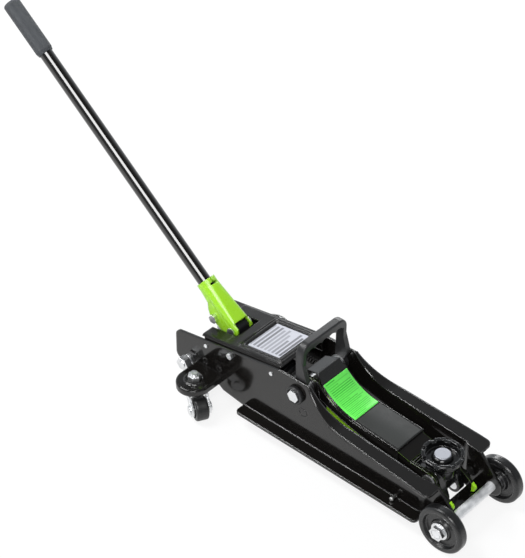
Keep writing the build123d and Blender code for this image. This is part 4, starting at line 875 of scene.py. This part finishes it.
def floor_material():
    """Pale floor: matt near-white that keeps the object's shadow and shows white to the camera."""
    graph = Graph("floor_pale")
    place = graph.add("ShaderNodeTexCoord", output=3)
    mottle = graph.noise(place, scale=3.0, detail=3.0, roughness=0.5)
    tone = graph.mix_rgba(mottle, *((level, level, level, 1.0) for level in FLOOR_TONES))
    matt = graph.add("ShaderNodeBsdfDiffuse", {"Color": tone})
    white = graph.add("ShaderNodeEmission", {"Color": (1.0, 1.0, 1.0, 1.0), "Strength": 1.0})
    path = graph.tree.nodes.new("ShaderNodeLightPath").outputs
    seen = graph.math("MAXIMUM", path["Is Camera Ray"], path["Is Glossy Ray"])
    seen = graph.math("MAXIMUM", seen, path["Is Transmission Ray"])
    share = graph.math("MULTIPLY", seen, FLOOR_WHITE)
    graph.add_output(graph.add("ShaderNodeMixShader", {0: share, 1: matt, 2: white}))
    return graph.material


def studio_world(level):
    """Surroundings that fade from a bright horizon to a darker zenith, and from one side to the other."""
    world = bpy.data.worlds.new("studio_world")
    world.use_nodes = True
    tree = world.node_tree
    place = tree.nodes.new("ShaderNodeTexCoord")
    split = tree.nodes.new("ShaderNodeSeparateXYZ")
    fade = tree.nodes.new("ShaderNodeMapRange")
    background = tree.nodes["Background"]
    tree.links.new(place.outputs["Generated"], split.inputs[0])
    tree.links.new(split.outputs[2], fade.inputs["Value"])
    fade.inputs["From Min"].default_value, fade.inputs["From Max"].default_value = SKY_FADE
    fade.inputs["To Min"].default_value = level
    fade.inputs["To Max"].default_value = ZENITH_SHARE * level
    side = tree.nodes.new("ShaderNodeVectorMath")
    side.operation = "DOT_PRODUCT"
    side.inputs[1].default_value = BRIGHT_SIDE
    tree.links.new(place.outputs["Generated"], side.inputs[0])
    share = tree.nodes.new("ShaderNodeMapRange")
    share.inputs["From Min"].default_value, share.inputs["From Max"].default_value = BRIGHT_SPAN
    share.inputs["To Min"].default_value = DULL_SHARE
    share.inputs["To Max"].default_value = 1.0
    tree.links.new(side.outputs["Value"], share.inputs["Value"])
    strength = tree.nodes.new("ShaderNodeMath")
    strength.operation = "MULTIPLY"
    tree.links.new(fade.outputs[0], strength.inputs[0])
    tree.links.new(share.outputs[0], strength.inputs[1])
    tree.links.new(strength.outputs[0], background.inputs["Strength"])
    background.inputs["Color"].default_value = SKY_TINT
    return world


def photo_camera(context):
    """Camera of the photograph: its direction, roll, distance and focal length in pixels."""
    a, e, roll = (math.radians(v) for v in (CAMERA_AZIMUTH, CAMERA_ELEVATION, CAMERA_ROLL))
    back = Vector((math.sin(a) * math.cos(e), -math.cos(a) * math.cos(e), math.sin(e)))
    right = Vector((math.cos(a), math.sin(a), 0.0))
    up = back.cross(right)
    side = right * math.cos(roll) + up * math.sin(roll)
    top = up * math.cos(roll) - right * math.sin(roll)
    data = bpy.data.cameras.new("photo_camera")
    data.sensor_fit = "HORIZONTAL"
    data.lens = FOCAL_PIXELS * data.sensor_width / IMAGE_WIDTH
    data.clip_end = CAMERA_REACH
    camera = bpy.data.objects.new("photo_camera", data)
    context.scene.collection.objects.link(camera)
    turn = Matrix((side, top, back)).transposed().to_4x4()
    camera.matrix_world = Matrix.Translation(Vector(CAMERA_TARGET) + back * CAMERA_DISTANCE) @ turn
    return camera


class JACK_PT_panel(bpy.types.Panel):
    """Sidebar panel of the jack's settings and steps"""

    bl_idname = "JACK_PT_panel"
    bl_label = "Trolley Jack"
    bl_space_type = "VIEW_3D"
    bl_region_type = "UI"
    bl_category = "Trolley Jack"

    def draw(self, context):
        for group in (context.scene.jack_finish, context.scene.jack_stage):
            for key in group.bl_rna.properties.keys():
                if key not in ("rna_type", "name"):
                    self.layout.prop(group, key)
        for step in STEPS:
            self.layout.operator(step.bl_idname)


STEPS = (
    JACK_OT_chassis,
    JACK_OT_covers,
    JACK_OT_running_gear,
    JACK_OT_plated_parts,
    JACK_OT_hydraulics,
    JACK_OT_lifting_parts,
    JACK_OT_handle,
    JACK_OT_trim,
    JACK_OT_labels,
    JACK_OT_stage,
)
CLASSES = (JackFinish, JackStage, *STEPS, JACK_PT_panel)


def register():
    """Register the classes and the scene's settings."""
    for item in CLASSES:
        bpy.utils.register_class(item)
    bpy.types.Scene.jack_finish = PointerProperty(type=JackFinish)
    bpy.types.Scene.jack_stage = PointerProperty(type=JackStage)


def unregister():
    """Take the settings and classes away again."""
    del bpy.types.Scene.jack_stage
    del bpy.types.Scene.jack_finish
    for item in reversed(CLASSES):
        bpy.utils.unregister_class(item)


def main():
    """Run every step in order."""
    register()
    bpy.ops.jack.chassis()
    bpy.ops.jack.covers()
    bpy.ops.jack.running_gear()
    bpy.ops.jack.plated_parts()
    bpy.ops.jack.hydraulics()
    bpy.ops.jack.lifting_parts()
    bpy.ops.jack.handle()
    bpy.ops.jack.trim()
    bpy.ops.jack.labels()
    bpy.ops.jack.stage()


if __name__ == "__main__":
    main()
